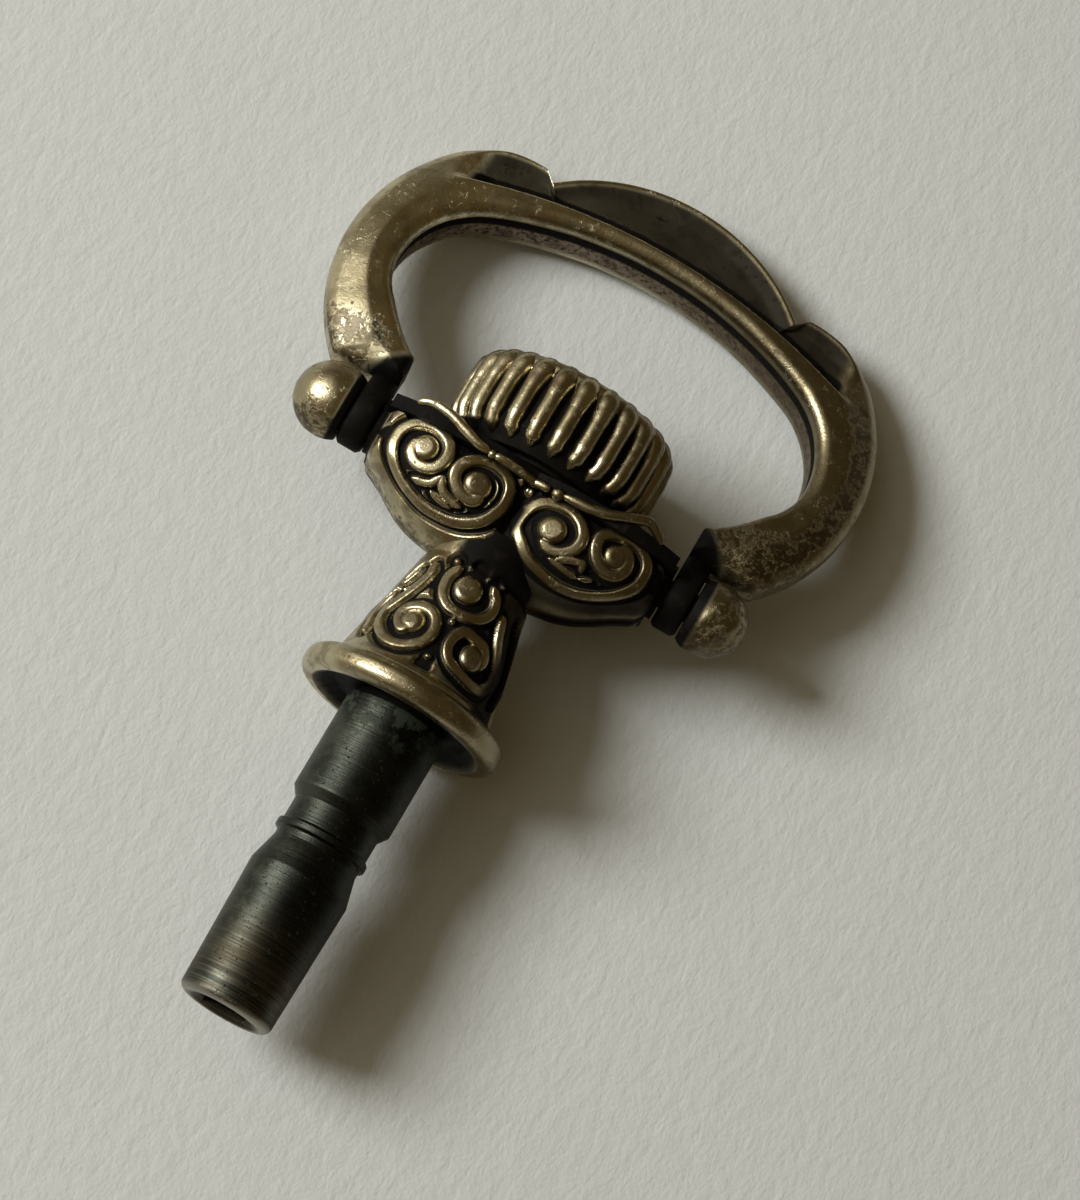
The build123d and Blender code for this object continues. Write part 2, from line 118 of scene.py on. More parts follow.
# Ornament of the neck, in the same measure
NECK_BANDS = {
    "tall_scroll": (0.22, [
        (-1.57, -3.67), (-1.54, -4.01), (-1.64, -4.45), (-1.84, -4.98), (-2.08, -5.51),
        (-2.26, -5.96), (-2.21, -6.53), (-1.82, -6.96), (-1.31, -7.04), (-0.8, -6.82),
        (-0.47, -6.44), (-0.39, -5.95), (-0.56, -5.55), (-0.9, -5.35), (-1.31, -5.39),
        (-1.65, -5.65), (-1.71, -6.07), (-1.45, -6.41), (-1.21, -6.23),
    ]),
    "upper_curl": (0.22, [
        (-0.73, -3.47), (-0.93, -3.91), (-0.85, -4.49), (-0.53, -4.87), (-0.11, -5.0),
        (0.37, -4.96), (0.83, -4.75), (1.07, -4.33), (1.0, -3.83), (0.7, -3.5),
    ]),
    "lower_curl": (0.22, [
        (1.68, -6.22), (1.66, -5.8), (1.42, -5.5), (1.07, -5.45), (0.64, -5.44), (0.39, -5.72),
        (0.32, -6.16), (0.49, -6.54), (0.81, -6.75), (1.24, -6.86), (1.71, -6.92), (2.11, -6.84),
        (2.28, -6.44), (2.21, -5.94), (1.97, -5.33), (1.7, -4.74), (1.53, -4.16),
    ]),
    "leaf": (0.15, [(-2.15, -4.69), (-2.02, -4.31), (-1.89, -3.94)]),
    "edge": (0.19, [(-2.5, -6.94), (-2.53, -6.22), (-2.42, -5.61), (-2.25, -5.12)]),
    "side_stem": (0.2, [(2.74, -7.0), (2.72, -6.2), (2.56, -5.4), (2.34, -4.6), (2.12, -3.9)]),
}
NECK_BEADS = (
    (-1.24, -6.0, 0.46), (-0.08, -4.04, 0.58), (0.01, -5.37, 0.14), (-0.1, -6.93, 0.13),
    (1.3, -6.12, 0.5), (-0.95, -3.25, 0.16), (0.95, -3.2, 0.14),
)
NECK_HOLLOWS = (
    (0.0, -5.7, 0.3), (-0.02, -6.5, 0.3), (-0.1, -7.3, 0.35), (-1.25, -4.35, 0.25),
    (1.3, -4.6, 0.2), (0.0, -3.15, 0.35),
)

# Form of the ornament: how square a band's and an eye's section are, and how high the ground stands
BAND_FULLNESS = 4.5
BEAD_FULLNESS = 2.6
BEAD_TOP = 1.1
GROUND_HEIGHT = 0.8
FAR = 9.0

# The head: its lower outline as (x, drop below the axis), its axis, top edge, half length and plan
HEAD_X = np.array([0.0, 2.15, 3.2, 3.97, 4.73, 5.3, 5.6])
HEAD_LOW = np.array([3.2, 3.08, 2.86, 2.46, 1.91, 1.6, 1.45])
HEAD_AXIS = -0.6
HEAD_TOP = 0.35
HEAD_HALF = 5.6
HEAD_PLAN = ((0.0, 2.15), (2.8, 2.64), (5.6, 1.75))
HEAD_DEEP = 2.65
HEAD_WALL = 0.42
HEAD_HOLE = 1.07
TUBE_BORE = 1.36

# The neck, from the collar up to where it ends inside the head
NECK_LOW = -7.84
NECK_HIGH = -1.7

# Ribs along the head's upper edge, as (x, s) knots, and the beads between them
RIM_LIP = 0.1
RIM_RADIUS = 0.18
RIM_LINES = (
    (
        (1.15, 0.43), (1.7, 0.44), (2.3, 0.48), (2.9, 0.66), (3.5, 0.94), (4.1, 1.18),
        (4.5, 1.04), (4.85, 0.82),
    ),
    ((-4.85, 0.84), (-4.4, 1.0), (-3.7, 0.92), (-3.0, 0.68), (-2.4, 0.48), (-1.86, 0.43)),
    ((-1.6, 0.42), (-0.95, 0.46), (-0.35, 0.44), (0.1, 0.43), (0.6, 0.42)),
)
RIM_BEADS = ((0.92, 0.38, 0.23), (-1.72, 0.4, 0.16))

# A rib of the crown: its path as (radius, height) and its girth by height
CROWN_RIB = (
    (3.2, 21.6), (3.38, 21.82), (3.57, 22.05), (3.67, 22.35), (3.69, 23.4),
    (3.61, 23.9), (3.5, 24.22), (3.28, 24.44), (2.8, 24.5),
)
RIB_HEIGHTS = (21.6, 21.7, 21.95, 22.15, 22.4, 22.8, 23.4, 23.9, 24.22, 24.44)
RIB_GIRTHS = (0.12, 0.45, 0.98, 0.88, 1.03, 1.0, 1.0, 1.2, 1.42, 1.4)

# Turned outlines about the pipe's axis, as (radius, height, round) corners
COLLAR_CORNERS = (
    (TUBE_BORE, 12.0, 0.0), (2.6, 12.0, 0.05), (3.25, 11.6, 0.06), (3.85, 11.6, 0.44),
    (3.85, 12.6, 0.44), (TUBE_BORE, 12.6, 0.0), (TUBE_BORE, 12.0, 0.0),
)
CROWN_CORNERS = (
    (2.775, 21.4, 0.0), (3.12, 21.4, 0.05), (3.55, 22.1, 0.2), (3.55, 24.3, 0.02),
    (3.25, 24.3, 0.0), (3.25, 21.65, 0.0), (2.775, 21.65, 0.0), (2.775, 21.4, 0.0),
)
CAP_CORNERS = (
    (0.9, 24.1, 0.0), (3.3, 24.1, 0.0), (3.62, 24.2, 0.05), (3.62, 24.82, 0.34),
    (1.5, 24.82, 0.05), (1.5, 24.45, 0.03), (0.9, 24.45, 0.0), (0.9, 24.1, 0.0),
)
PIPE_CORNERS = (
    (1.25, 0.0, 0.0), (1.73, 0.0, 0.28), (1.85, 5.08, 0.05), (1.58, 6.15, 0.12), (1.58, 6.4, 0.05),
    (1.735, 6.46, 0.06), (1.735, 6.7, 0.06), (1.61, 6.76, 0.05), (1.61, 7.62, 0.1),
    (1.875, 8.0, 0.08), (1.875, 11.72, 0.05), (0.92, 11.72, 0.0), (0.92, 8.72, 0.0), (0.0, 8.72, 0.0),
)

# The pipe's square socket: half its width, its depth, its floor and the cone at its mouth
SOCKET_HALF = 0.8
SOCKET_DEPTH = 5.2
SOCKET_FLOOR = 0.79
MOUTH_RADIUS = 1.25
MOUTH_CONE = 0.32

# The bow: its opening, its outside, its feet, and the ridge round the opening
BOW_HUB = 6.0
BOW_DROOP = 13.3
BOW_SWEEP = (-36.8, 216.8)
OPEN_HALF = 8.28
OPEN_TOP = 10.95
SHOULDER = 6.1
SHOULDER_ROUND = 3.8
LOWER_ROUND = 2.6
OUTER_HALF = 10.42
OUTER_MIDDLE = 6.4
CREST_END = (8.5, 11.4)
FOOT_INNER = 5.87
FOOT_LOW = 1.6
RIDGE_RADIUS = 20.96
RIDGE_HUB = (0.0, 11.67 - RIDGE_RADIUS)
BOW_HALF_THICK = 1.2

# The ball terminals
BALL_RADIUS = 1.4
BALL_CENTRE = 0.7
BALL_FACE = 6.89
BALL_BORE = 0.57

# Colours that old metal takes on, with the painted shade and painted light among them
RAW_BRASS = (0.27, 0.19, 0.12)
SKIN_DARK = (0.035, 0.022, 0.017)
SKIN_PALE = (0.3, 0.225, 0.16)
PATCH_BROWN = (0.03, 0.019, 0.013)
TARNISH_BROWN = (0.13, 0.096, 0.044)
PAINTED_SHADE_GILT = (0.085, 0.063, 0.03)
PATINA_AND_SHADE_BROWN = (0.022, 0.015, 0.009)
STEEL_BLACK = (0.008, 0.009, 0.007)
STEEL_PAINTED_LIGHT = (0.1, 0.105, 0.082)
STEEL_RINGS = (0.17, 0.155, 0.115)
STEEL_RUST = (0.06, 0.042, 0.022)
STEEL_RESIDUE = (0.05, 0.062, 0.042)
STEEL_PITS = (0.012, 0.011, 0.01)
STEEL_BRIGHT = (0.42, 0.39, 0.32)
BORE_PAINTED_SHADE = (0.004, 0.004, 0.003)
DULL_BRASS = (0.3, 0.22, 0.11)
PAPER_LOW = (0.9, 0.9, 0.885)
SPECULAR_LEVEL = 0.06

# The stage: paper, lamp, room and camera, in metres where no MM stands by
PAPER_HALF = 0.6
PAPER_GAP = 0.02 * MM
LAMP_WAY = (-0.73, -0.11, 0.67)
LAMP_DISTANCE = 0.4
LAMP_SIZE = 0.17
LAMP_POWER = 1.84
LAMP_COLOUR = (0.96, 0.99, 1.0)
LIT_CENTRE = (0.0, 0.017, 0.0)
ROOM_DIM = (0.1, 0.072, 0.029)
ROOM_BRIGHT = (0.8, 0.74, 0.6)
CAMERA_SEAT = (4.38, -24.17, 150.29)
CAMERA_RIGHT = (0.8638, 0.4883, 0.1243)
CAMERA_UP = (-0.5036, 0.8299, 0.2401)
CAMERA_LENS = 135.0
CAMERA_SENSOR = 36.0
CAMERA_CLIP = (0.01, 5.0)


class KeySizes(bpy.types.PropertyGroup):
    """Sizes of the ornament and of the crown's ribs."""

    relief_depth: FloatProperty(
        name="Relief depth",
        description="Depth of the ground between the scrolls of head and neck",
        default=0.24 * MM,
        subtype="DISTANCE",
        unit="LENGTH",
    )
    rib_count: IntProperty(
        name="Crown ribs",
        description="Number of ribs round the crown",
        default=26,
        min=8,
    )
    rib_radius: FloatProperty(
        name="Rib radius",
        description="Half the width of one rib of the crown",
        default=0.31 * MM,
        subtype="DISTANCE",
        unit="LENGTH",
    )


class KeyFinish(bpy.types.PropertyGroup):
    """Colours of the metals and of the paper."""

    brass: FloatVectorProperty(
        name="Old brass",
        description="Colour of the worn gilt brass",
        default=(0.37, 0.315, 0.19),
        subtype="COLOR",
    )
    gilt: FloatVectorProperty(
        name="Gilding",
        description="Colour of the gilding that is left on the raised places",
        default=(0.66, 0.59, 0.4),
        subtype="COLOR",
    )
    patina: FloatVectorProperty(
        name="Patina",
        description="Colour of the black patina in the recesses",
        default=(0.004, 0.0032, 0.0024),
        subtype="COLOR",
    )
    steel: FloatVectorProperty(
        name="Steel",
        description="Colour of the oxidised steel pipe",
        default=(0.024, 0.026, 0.021),
        subtype="COLOR",
    )
    inner: FloatVectorProperty(
        name="Inner brass",
        description="Colour of the plain turned brass inside",
        default=(0.55, 0.45, 0.25),
        subtype="COLOR",
    )
    paper: FloatVectorProperty(
        name="Paper",
        description="Colour of the pale paper below the key",
        default=(0.52, 0.522, 0.5),
        subtype="COLOR",
    )


class Field:
    """A node's output that takes part in sums, so that node maths reads as plain expressions."""

    def __init__(self, net, socket):
        self.net = net
        self.socket = socket

    def math(self, operation, *others):
        values = dict(enumerate((self, *others)))
        return self.net.node("ShaderNodeMath", {"operation": operation}, values)

    def __add__(self, other):
        return self.math("ADD", other)

    __radd__ = __add__

    def __mul__(self, other):
        return self.math("MULTIPLY", other)

    __rmul__ = __mul__

    def __sub__(self, other):
        return self.math("SUBTRACT", other)

    def __rsub__(self, other):
        return self.net.node("ShaderNodeMath", {"operation": "SUBTRACT"}, {0: other, 1: self})

    def __truediv__(self, other):
        return self.math("DIVIDE", other)

    def over(self, low, high):
        """How far the value has come from low to high, eased at both ends."""
        settings = {"interpolation_type": "SMOOTHSTEP"}
        return self.net.node("ShaderNodeMapRange", settings, {"Value": self, 1: low, 2: high})

    def output(self, name):
        """Another output of the same node."""
        return Field(self.net, self.socket.node.outputs[name])

    def axes(self):
        """The three parts of a place."""
        x = self.net.node("ShaderNodeSeparateXYZ", {}, {0: self})
        return x, x.output(1), x.output(2)


class Net:
    """A node tree that is filled through one method."""

    def __init__(self, tree):
        self.tree = tree

    def node(self, kind, settings=None, values=None, output=0):
        """Adds a node, sets it up, then fills its sockets by name or number; returns one output."""
        made = self.tree.nodes.new(kind)
        for key, value in (settings or {}).items():
            setattr(made, key, value)
        for key, value in (values or {}).items():
            socket = made.inputs[key]
            if isinstance(value, Field):
                self.tree.links.new(value.socket, socket)
            elif isinstance(value, (tuple, list)) and len(value) == 3 and socket.type == "RGBA":
                socket.default_value = (*value, 1.0)
            else:
                socket.default_value = value
        return Field(self, made.outputs[output]) if len(made.outputs) else None

    def mix(self, factor, first, second):
        """A colour between two colours."""
        values = {0: factor, 6: first, 7: second}
        return self.node("ShaderNodeMix", {"data_type": "RGBA"}, values, output=2)

    def attribute(self, name):
        """A value that the mesh carries at its points."""
        return self.node("ShaderNodeAttribute", {"attribute_name": name}, output="Fac")

    def noise(self, place, grain, detail=4.0, rough=0.55, distortion=0.0):
        """Noise whose grains are the given size in metres."""
        values = {
            "Vector": place, "Scale": 1.0 / grain, "Detail": detail,
            "Roughness": rough, "Distortion": distortion,
        }
        return self.node("ShaderNodeTexNoise", {}, values)

    def stretched(self, place, scale, turn=(0.0, 0.0, 0.0)):
        """Coordinates drawn out along an axis and turned, for scratches and turning marks."""
        values = {"Vector": place, "Scale": scale, "Rotation": turn}
        return self.node("ShaderNodeMapping", {}, values)

    def surface(self, colour, roughness, height, depth, metallic=0.0):
        """Ends a material in one principled shader, bumped by a height between 0 and 1."""
        normal = self.node("ShaderNodeBump", {}, {"Height": height, "Distance": depth})
        values = {
            "Base Color": colour, "Metallic": metallic, "Roughness": roughness,
            "Specular IOR Level": SPECULAR_LEVEL, "Normal": normal,
        }
        shader = self.node("ShaderNodeBsdfPrincipled", {}, values)
        self.node("ShaderNodeOutputMaterial", {}, {"Surface": shader})


def antique_gilt(net, place, finish, blackened=0.0):
    """Worn gilding over brass, with black patina in the recesses, stains, rough casting skin, and painted
    shade on the right-hand side and on the places the mesh marks dark.
    """
    recess = net.attribute("recess")
    cast = net.attribute("cast")
    stain = net.attribute("stain")
    side = place.axes()[0]
    blotch = net.noise(place, 1.9 * MM, detail=5.0)
    cloud = net.noise(place, 0.6 * MM, detail=5.0, rough=0.6, distortion=0.4)
    fleck = net.noise(place, 0.22 * MM, detail=6.0, rough=0.7)
    grain = net.noise(place, 0.06 * MM, detail=3.0)
    warm = net.noise(place, 1.1 * MM, detail=3.0).over(0.5, 0.68)
    gilding = blotch.over(0.36, 0.66) * (1.0 - cloud.over(0.55, 0.75) * 0.6)
    # Painted shade: the gilding thins towards the right-hand side, where the light falls less.
    gilding = gilding * (1.0 - side.over(-3.0 * MM, 9.0 * MM) * 0.5)
    bare = net.mix(warm * 0.6, finish.brass[:], RAW_BRASS)
    metal = net.mix(gilding * 0.8, bare, finish.gilt[:])
    skin = net.mix(fleck.over(0.4, 0.56), SKIN_DARK, SKIN_PALE)
    metal = net.mix(cast, metal, skin)
    patch = (fleck * 0.62 + cloud * 0.38 + stain * 0.15).over(0.56, 0.66)
    metal = net.mix(patch * 0.8, metal, PATCH_BROWN)
    tarnish = net.noise(place, 0.9 * MM, detail=6.0, rough=0.68, distortion=0.3).over(0.5, 0.6)
    metal = net.mix(tarnish * (1.0 - cast) * 0.5, metal, TARNISH_BROWN)
    # Painted shade: the metal darkens towards the right-hand side.
    painted_side_shade = side.over(-7.0 * MM, 6.0 * MM)
    metal = net.mix(painted_side_shade * (0.45 + blotch * 0.35), metal, PAINTED_SHADE_GILT)
    # The marked dark places are black patina in the hollows, and painted shade where the mesh marks
    # shaded places; both take the patina colour.
    dirt_and_shade = (recess.over(0.3, 0.8) + cloud.over(0.66, 0.8) * 0.3 + blackened).math("MINIMUM", 1.0)
    patina_and_shade_tone = net.mix(cloud.over(0.5, 0.75) * 0.4, finish.patina[:], PATINA_AND_SHADE_BROWN)
    metallic = (1.0 - dirt_and_shade * 0.9 - cast * 0.1).math("MAXIMUM", 0.0)
    roughness = 0.23 + cloud * 0.14 + dirt_and_shade * 0.34 + cast * 0.15 + patch * 0.1
    roughness = roughness + tarnish * 0.08 - gilding * 0.05
    height = cloud * 0.45 + grain * 0.2 + fleck * cast * 1.6 - patch * 0.25
    net.surface(net.mix(dirt_and_shade, metal, patina_and_shade_tone), roughness, height, 0.04 * MM, metallic)


def black_brass(net, place, finish):
    """The same brass drawn nearly all black: patina in the crown's grooves, painted shade on the end
    bosses, plain black on the top plate and the washers.
    """
    antique_gilt(net, place, finish, 1.0)


def gun_steel(net, place, finish):
    """Oxidised turned steel, green at the collar, brown near the mouth, rubbed bright on its edge, with
    painted light along its left-hand side.
    """
    across, along, _ = place.axes()
    bright = net.attribute("bright")
    bore = net.attribute("bore")
    rings = net.noise(net.stretched(place, (0.02, 1.0, 0.02)), 0.07 * MM, detail=4.0, rough=0.7)
    cloud = net.noise(place, 1.2 * MM, detail=5.0, rough=0.6)
    pits = net.noise(place, 0.14 * MM, detail=4.0).over(0.62, 0.72)
    tip = 1.0 - along.over(0.3 * MM, 4.2 * MM)
    rust = tip * cloud.over(0.36, 0.6)
    residue = along.over(9.6 * MM, 11.2 * MM) * net.noise(place, 0.5 * MM, detail=5.0).over(0.48, 0.6)
    # Painted light: the left-hand side of the pipe is lightened as if lit from the left.
    wear_and_painted_light = (1.0 - across.over(-1.5 * MM, 0.1 * MM)) * (0.2 + cloud.over(0.42, 0.6) * 0.8)
    base = net.mix(cloud.over(0.3, 0.7), finish.steel[:], STEEL_BLACK)
    for factor, colour in (
        (wear_and_painted_light * 0.55, STEEL_PAINTED_LIGHT),
        (rings.over(0.42, 0.66) * (0.05 + tip * 0.42), STEEL_RINGS),
        (rust * 0.6, STEEL_RUST),
        (residue * 0.45, STEEL_RESIDUE),
        (pits * 0.8, STEEL_PITS),
        (bright * (0.35 + cloud * 0.5), STEEL_BRIGHT),
        # Painted shade inside the socket.
        (bore, BORE_PAINTED_SHADE),
    ):
        base = net.mix(factor, base, colour)
    roughness = 0.3 + cloud * 0.18 + rust * 0.12 + pits * 0.2 + residue * 0.25 - bright * 0.12
    height = rings * 0.6 - pits * 0.4 + residue * 0.3
    metallic = 1.0 - pits * 0.5 - residue * 0.4
    net.surface(base, roughness + bore * 0.3, height, 0.025 * MM, metallic)


def inner_brass(net, place, finish):
    """Plain turned brass, a little dulled."""
    cloud = net.noise(place, 0.9 * MM, detail=4.0)
    rings = net.noise(net.stretched(place, (0.02, 1.0, 0.02)), 0.08 * MM, detail=2.0)
    colour = net.mix(cloud.over(0.4, 0.7), finish.inner[:], DULL_BRASS)
    net.surface(colour, 0.3 + cloud * 0.2, rings, 0.01 * MM, 1.0)


def pale_paper(net, place, finish):
    """Matt drawing paper with a felt tooth."""
    fibre_place = net.stretched(place, (1.0, 0.5, 1.0), (0.0, 0.0, 0.55))
    felt = net.noise(fibre_place, 0.45 * MM, detail=4.0, rough=0.6, distortion=0.2)
    tooth = net.noise(place, 0.16 * MM, detail=3.0)
    cloud = net.noise(place, 9.0 * MM, detail=3.0)
    low = tuple(full * share for full, share in zip(finish.paper, PAPER_LOW))
    shade = net.mix(felt.over(0.35, 0.7) * 0.35 + cloud.over(0.3, 0.7) * 0.2, finish.paper[:], low)
    net.surface(shade, 0.92, felt * 0.7 + tooth * 0.3, 0.065 * MM)


MAKERS = {
    "gilt_brass": antique_gilt, "black_brass": black_brass, "gun_steel": gun_steel,
    "inner_brass": inner_brass, "paper": pale_paper,
}
MATERIALS = {}


def material(name):
    """The finish of that name, made when it is first asked for."""
    if name not in MATERIALS:
        made = bpy.data.materials.new(MAKERS[name].__name__)
        made.use_nodes = True
        made.node_tree.nodes.clear()
        net = Net(made.node_tree)
        place = net.node("ShaderNodeTexCoord", output="Object")
        MAKERS[name](net, place, bpy.context.scene.key_finish)
        MATERIALS[name] = made
    return MATERIALS[name]


def in_row(points):
    """Points measured from the pivots in millimetres, put in the row frame in metres."""
    return (np.asarray(points, float) + (0.0, PIVOT, 0.0)) * MM


def smooth_curve(points, step=0.04):
    """Points about a step apart on a smooth curve through the given ones."""
    knots = np.asarray(points, float)
    padded = np.vstack([2 * knots[0] - knots[1], knots, 2 * knots[-1] - knots[-2]])
    pieces = []
    for a, b, c, d in zip(padded, padded[1:], padded[2:], padded[3:]):
        count = max(2, int(np.ceil(np.linalg.norm(c - b) / step)))
        t = np.linspace(0.0, 1.0, count, endpoint=False)[:, None]
        bend = (2 * a - 5 * b + 4 * c - d) * t**2 + (3 * b - a - 3 * c + d) * t**3
        pieces.append(0.5 * (2 * b + (c - a) * t + bend))
    pieces.append(knots[-1:])
    return np.vstack(pieces)


def eased(value, low, high):
    """How far a value has come from low to high, eased at both ends."""
    t = np.clip((value - low) / (high - low), 0.0, 1.0)
    return t * t * (3.0 - 2.0 * t)


def full_turn(segments):
    """Angles of the points of a ring."""
    return np.linspace(0.0, 2 * math.pi, segments, endpoint=False)


def circle(turn, radius, height):
    """A ring of points about the pipe's axis."""
    return np.stack([radius * np.sin(turn), np.full(len(turn), height), radius * np.cos(turn)], axis=-1)


def strip_faces(first, second, columns, closed=False):
    """Quads between two rows of points, given by the numbers of their first points."""
    faces = []
    for column in range(columns if closed else columns - 1):
        after = (column + 1) % columns
        faces.append((first + column, first + after, second + after, second + column))
    return faces


def grid_faces(rows, columns, start=0, closed=False):
    """Quads of a grid of points that are counted along its rows."""
    faces = []
    for row in range(rows - 1):
        first = start + row * columns
        faces += strip_faces(first, first + columns, columns, closed)
    return faces


def zip_faces(first, second):
    """Triangles that join two rows of points with different counts."""
    faces = []
    i = 0
    j = 0
    while i < len(first) - 1 or j < len(second) - 1:
        ahead = j * (len(first) - 1) > i * (len(second) - 1)
        if j == len(second) - 1 or (ahead and i < len(first) - 1):
            faces.append((first[i], first[i + 1], second[j]))
            i += 1
        else:
            faces.append((first[i], second[j + 1], second[j]))
            j += 1
    return faces


def mark(mesh, name, values):
    """Writes one value per point on a mesh."""
    layer = mesh.attributes.new(name, "FLOAT", "POINT")
    layer.data.foreach_set("value", np.asarray(values, np.float32))


def new_piece(name, points, faces, finish, marks=None):
    """A smooth mesh object with its finish; the points are in metres in the row frame."""
    mesh = bpy.data.meshes.new(name)
    mesh.from_pydata([tuple(point) for point in points], [], faces)
    for key, values in (marks or {}).items():
        mark(mesh, key, values)
    mesh.validate()
    outward(mesh)
    mesh.polygons.foreach_set("use_smooth", [True] * len(mesh.polygons))
    mesh.materials.append(material(finish))
    piece = bpy.data.objects.new(name, mesh)
    bpy.context.scene.collection.objects.link(piece)
    return piece


def outward(mesh):
    """Merges doubles and turns every face outwards."""
    work = bmesh.new()
    work.from_mesh(mesh)
    bmesh.ops.remove_doubles(work, verts=work.verts, dist=1e-7)
    bmesh.ops.recalc_face_normals(work, faces=work.faces)
    work.to_mesh(mesh)
    work.free()


def mount(piece, body, slot, *nodes):
    """Lets a piece ride on its body in place of CAD nodes; its slot argument is not used."""
    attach(piece, body)
    if nodes:
        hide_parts(*nodes)


def round_spots(points, spots, sides, lift):
    """For each round spot, front and back: its radius and every point's distance from its centre."""
    for x, s, radius in spots:
        for side in sides:
            seat = lift(np.array([[x, s]]))[0] * side
            yield radius, np.linalg.norm(points - seat, axis=1)


def relief(points, bands, beads, hollows, lift, depth):
    """How far each point lies below the tops of the scrolls, and how dark its place is drawn, for patina
    in the hollows and painted shade on the right-hand ground.
    """
    seats = []
    widths = []
    for width, knots in bands.values():
        path = smooth_curve(knots)
        run = np.arange(len(path))
        taper = np.minimum(1.0, 0.5 + 0.1 * np.minimum(run, run[::-1]))
        seats.append(lift(path))
        widths.append(width * taper)
    seats = np.vstack(seats)
    widths = np.concatenate(widths)
    sides = np.array([[1.0, 1.0, 1.0], [-1.0, 1.0, -1.0]])
    tree = KDTree(2 * len(seats))
    for turn, side in enumerate(sides):
        for index, seat in enumerate(seats * side):
            tree.insert(seat, turn * len(seats) + index)
    tree.balance()
    height = np.zeros(len(points))
    beyond = np.full(len(points), FAR)
    for index, point in enumerate(points):
        for _, found, distance in tree.find_n(point, 3):
            width = widths[found % len(seats)]
            share = distance / width
            if share < 1.0:
                height[index] = max(height[index], math.sqrt(1.0 - share**BAND_FULLNESS))
            beyond[index] = min(beyond[index], distance - width)
    for radius, away in round_spots(points, beads, sides, lift):
        dome = np.sqrt(np.clip(1.0 - (away / radius) ** BEAD_FULLNESS, 0.0, 1.0))
        height = np.maximum(height, np.minimum(BEAD_TOP, dome * (0.7 + radius)))
        beyond = np.minimum(beyond, away - radius)
    # The ground sinks and darkens towards the right-hand side: part relief, part painted shade on that
    # side.
    toward = points[:, 0] * np.where(points[:, 2] < 0.0, -1.0, 1.0)
    ground = GROUND_HEIGHT * eased(beyond, 0.12, 0.28) * (1.0 - 0.8 * eased(toward, -0.4, 0.8))
    for radius, away in round_spots(points, hollows, sides, lift):
        ground *= eased(away, radius * 0.75, radius * 1.25)
    height = np.maximum(height, ground)
    return depth * (1.0 - height), np.clip(1.0 - height * 1.9, 0.0, 1.0)


def smooth_table(value, places, sizes):
    """A table read with its corners smoothed."""
    spread = (-0.35, -0.175, 0.0, 0.175, 0.35)
    reads = [np.interp(np.abs(value + shift), places, sizes) for shift in spread]
    return np.mean(reads, axis=0)


def head_section(x):
    """Half depth and drop of the head's section at a place along the bar."""
    across = np.abs(x)
    outline = arc_through(*HEAD_PLAN, 80)
    deep = np.interp(across, outline[:, 0], outline[:, 1])
    low = smooth_table(across, HEAD_X, HEAD_LOW) + HEAD_AXIS
    return deep, low


def head_form(x, rise):
    """Half depth, reach up or down and squareness of the head's section."""
    deep, low = head_section(x)
    return deep, np.where(rise < 0.0, low, HEAD_DEEP), 2.0 + 1.6 * (HEAD_DEEP - deep)


def head_points(x, angle):
    """Points on the plain form of the head, from a place along the bar and an angle from the front."""
    deep, up, bend = head_form(x, angle)
    across = np.abs(np.cos(angle) / deep) ** bend + np.abs(np.sin(angle) / up) ** bend
    reach = across ** (-1.0 / bend)
    return np.stack([x, HEAD_AXIS + reach * np.sin(angle), reach * np.cos(angle)], axis=-1)


def head_lift(places):
    """Seats points of the head's front view on its plain form."""
    rise = places[:, 1] - HEAD_AXIS
    deep, up, bend = head_form(places[:, 0], rise)
    depth = deep * np.clip(1.0 - np.abs(rise / up) ** bend, 0.0, 1.0) ** (1.0 / bend)
    return np.stack([places[:, 0], places[:, 1], depth], axis=-1)


def head_sheet(x, top, rows):
    """Rows of points on the head's plain form, from its lowest line up to its top edge."""
    angle = -math.pi / 2 + np.linspace(0.0, 1.0, rows)[:, None] * (top + math.pi / 2)[None, :]
    return head_points(np.broadcast_to(x, angle.shape), angle).reshape(-1, 3)


def sink(points, drop):
    """Moves points of the head towards its long axis."""
    radial = points - np.stack([points[:, 0], np.full(len(points), HEAD_AXIS), 0 * points[:, 0]], axis=-1)
    return points - radial / np.linalg.norm(radial, axis=1, keepdims=True) * drop


def head_outside(sheet, side, depth):
    """The scrolled outside of one half of the head, with its patina, painted shade and stain."""
    drop, dirt_and_shade = relief(sheet, HEAD_BANDS, HEAD_BEADS, HEAD_HOLLOWS, head_lift, depth)
    spot = sheet[:, 0] * side
    out = np.abs(sheet[:, 0])
    groove = np.exp(-((spot / 0.3) ** 2))
    low_side = eased(-sheet[:, 2], -1.1, -0.2)
    centre_drop = 0.12 * groove * (1.0 - eased(sheet[:, 1], -0.6, 0.3))
    end_drop = eased(out, HEAD_HALF - 0.4, HEAD_HALF) ** 2 * 0.32
    seam = np.exp(-((sheet[:, 2] / 0.06) ** 2)) * 0.05
    drop = drop * (1.0 - 0.6 * low_side) + centre_drop + end_drop + seam
    outer = sink(sheet, drop[:, None])
    dirt_and_shade = np.maximum(dirt_and_shade, groove * (1.0 - eased(outer[:, 1], -0.7, 0.0)))
    # Painted shade: the lower rim on the right-hand side goes black.
    dirt_and_shade = np.maximum(dirt_and_shade * (1.0 - 0.5 * low_side), 0.78 * low_side * eased(spot, -0.6, 3.0))
    # Painted shade: the head darkens at its ends, next to the bow's eyes.
    dirt_and_shade = np.maximum(dirt_and_shade, 0.9 * eased(out, HEAD_HALF - 0.25, HEAD_HALF))
    return outer, dirt_and_shade, low_side * eased(-spot, -1.0, 1.5) * 0.9


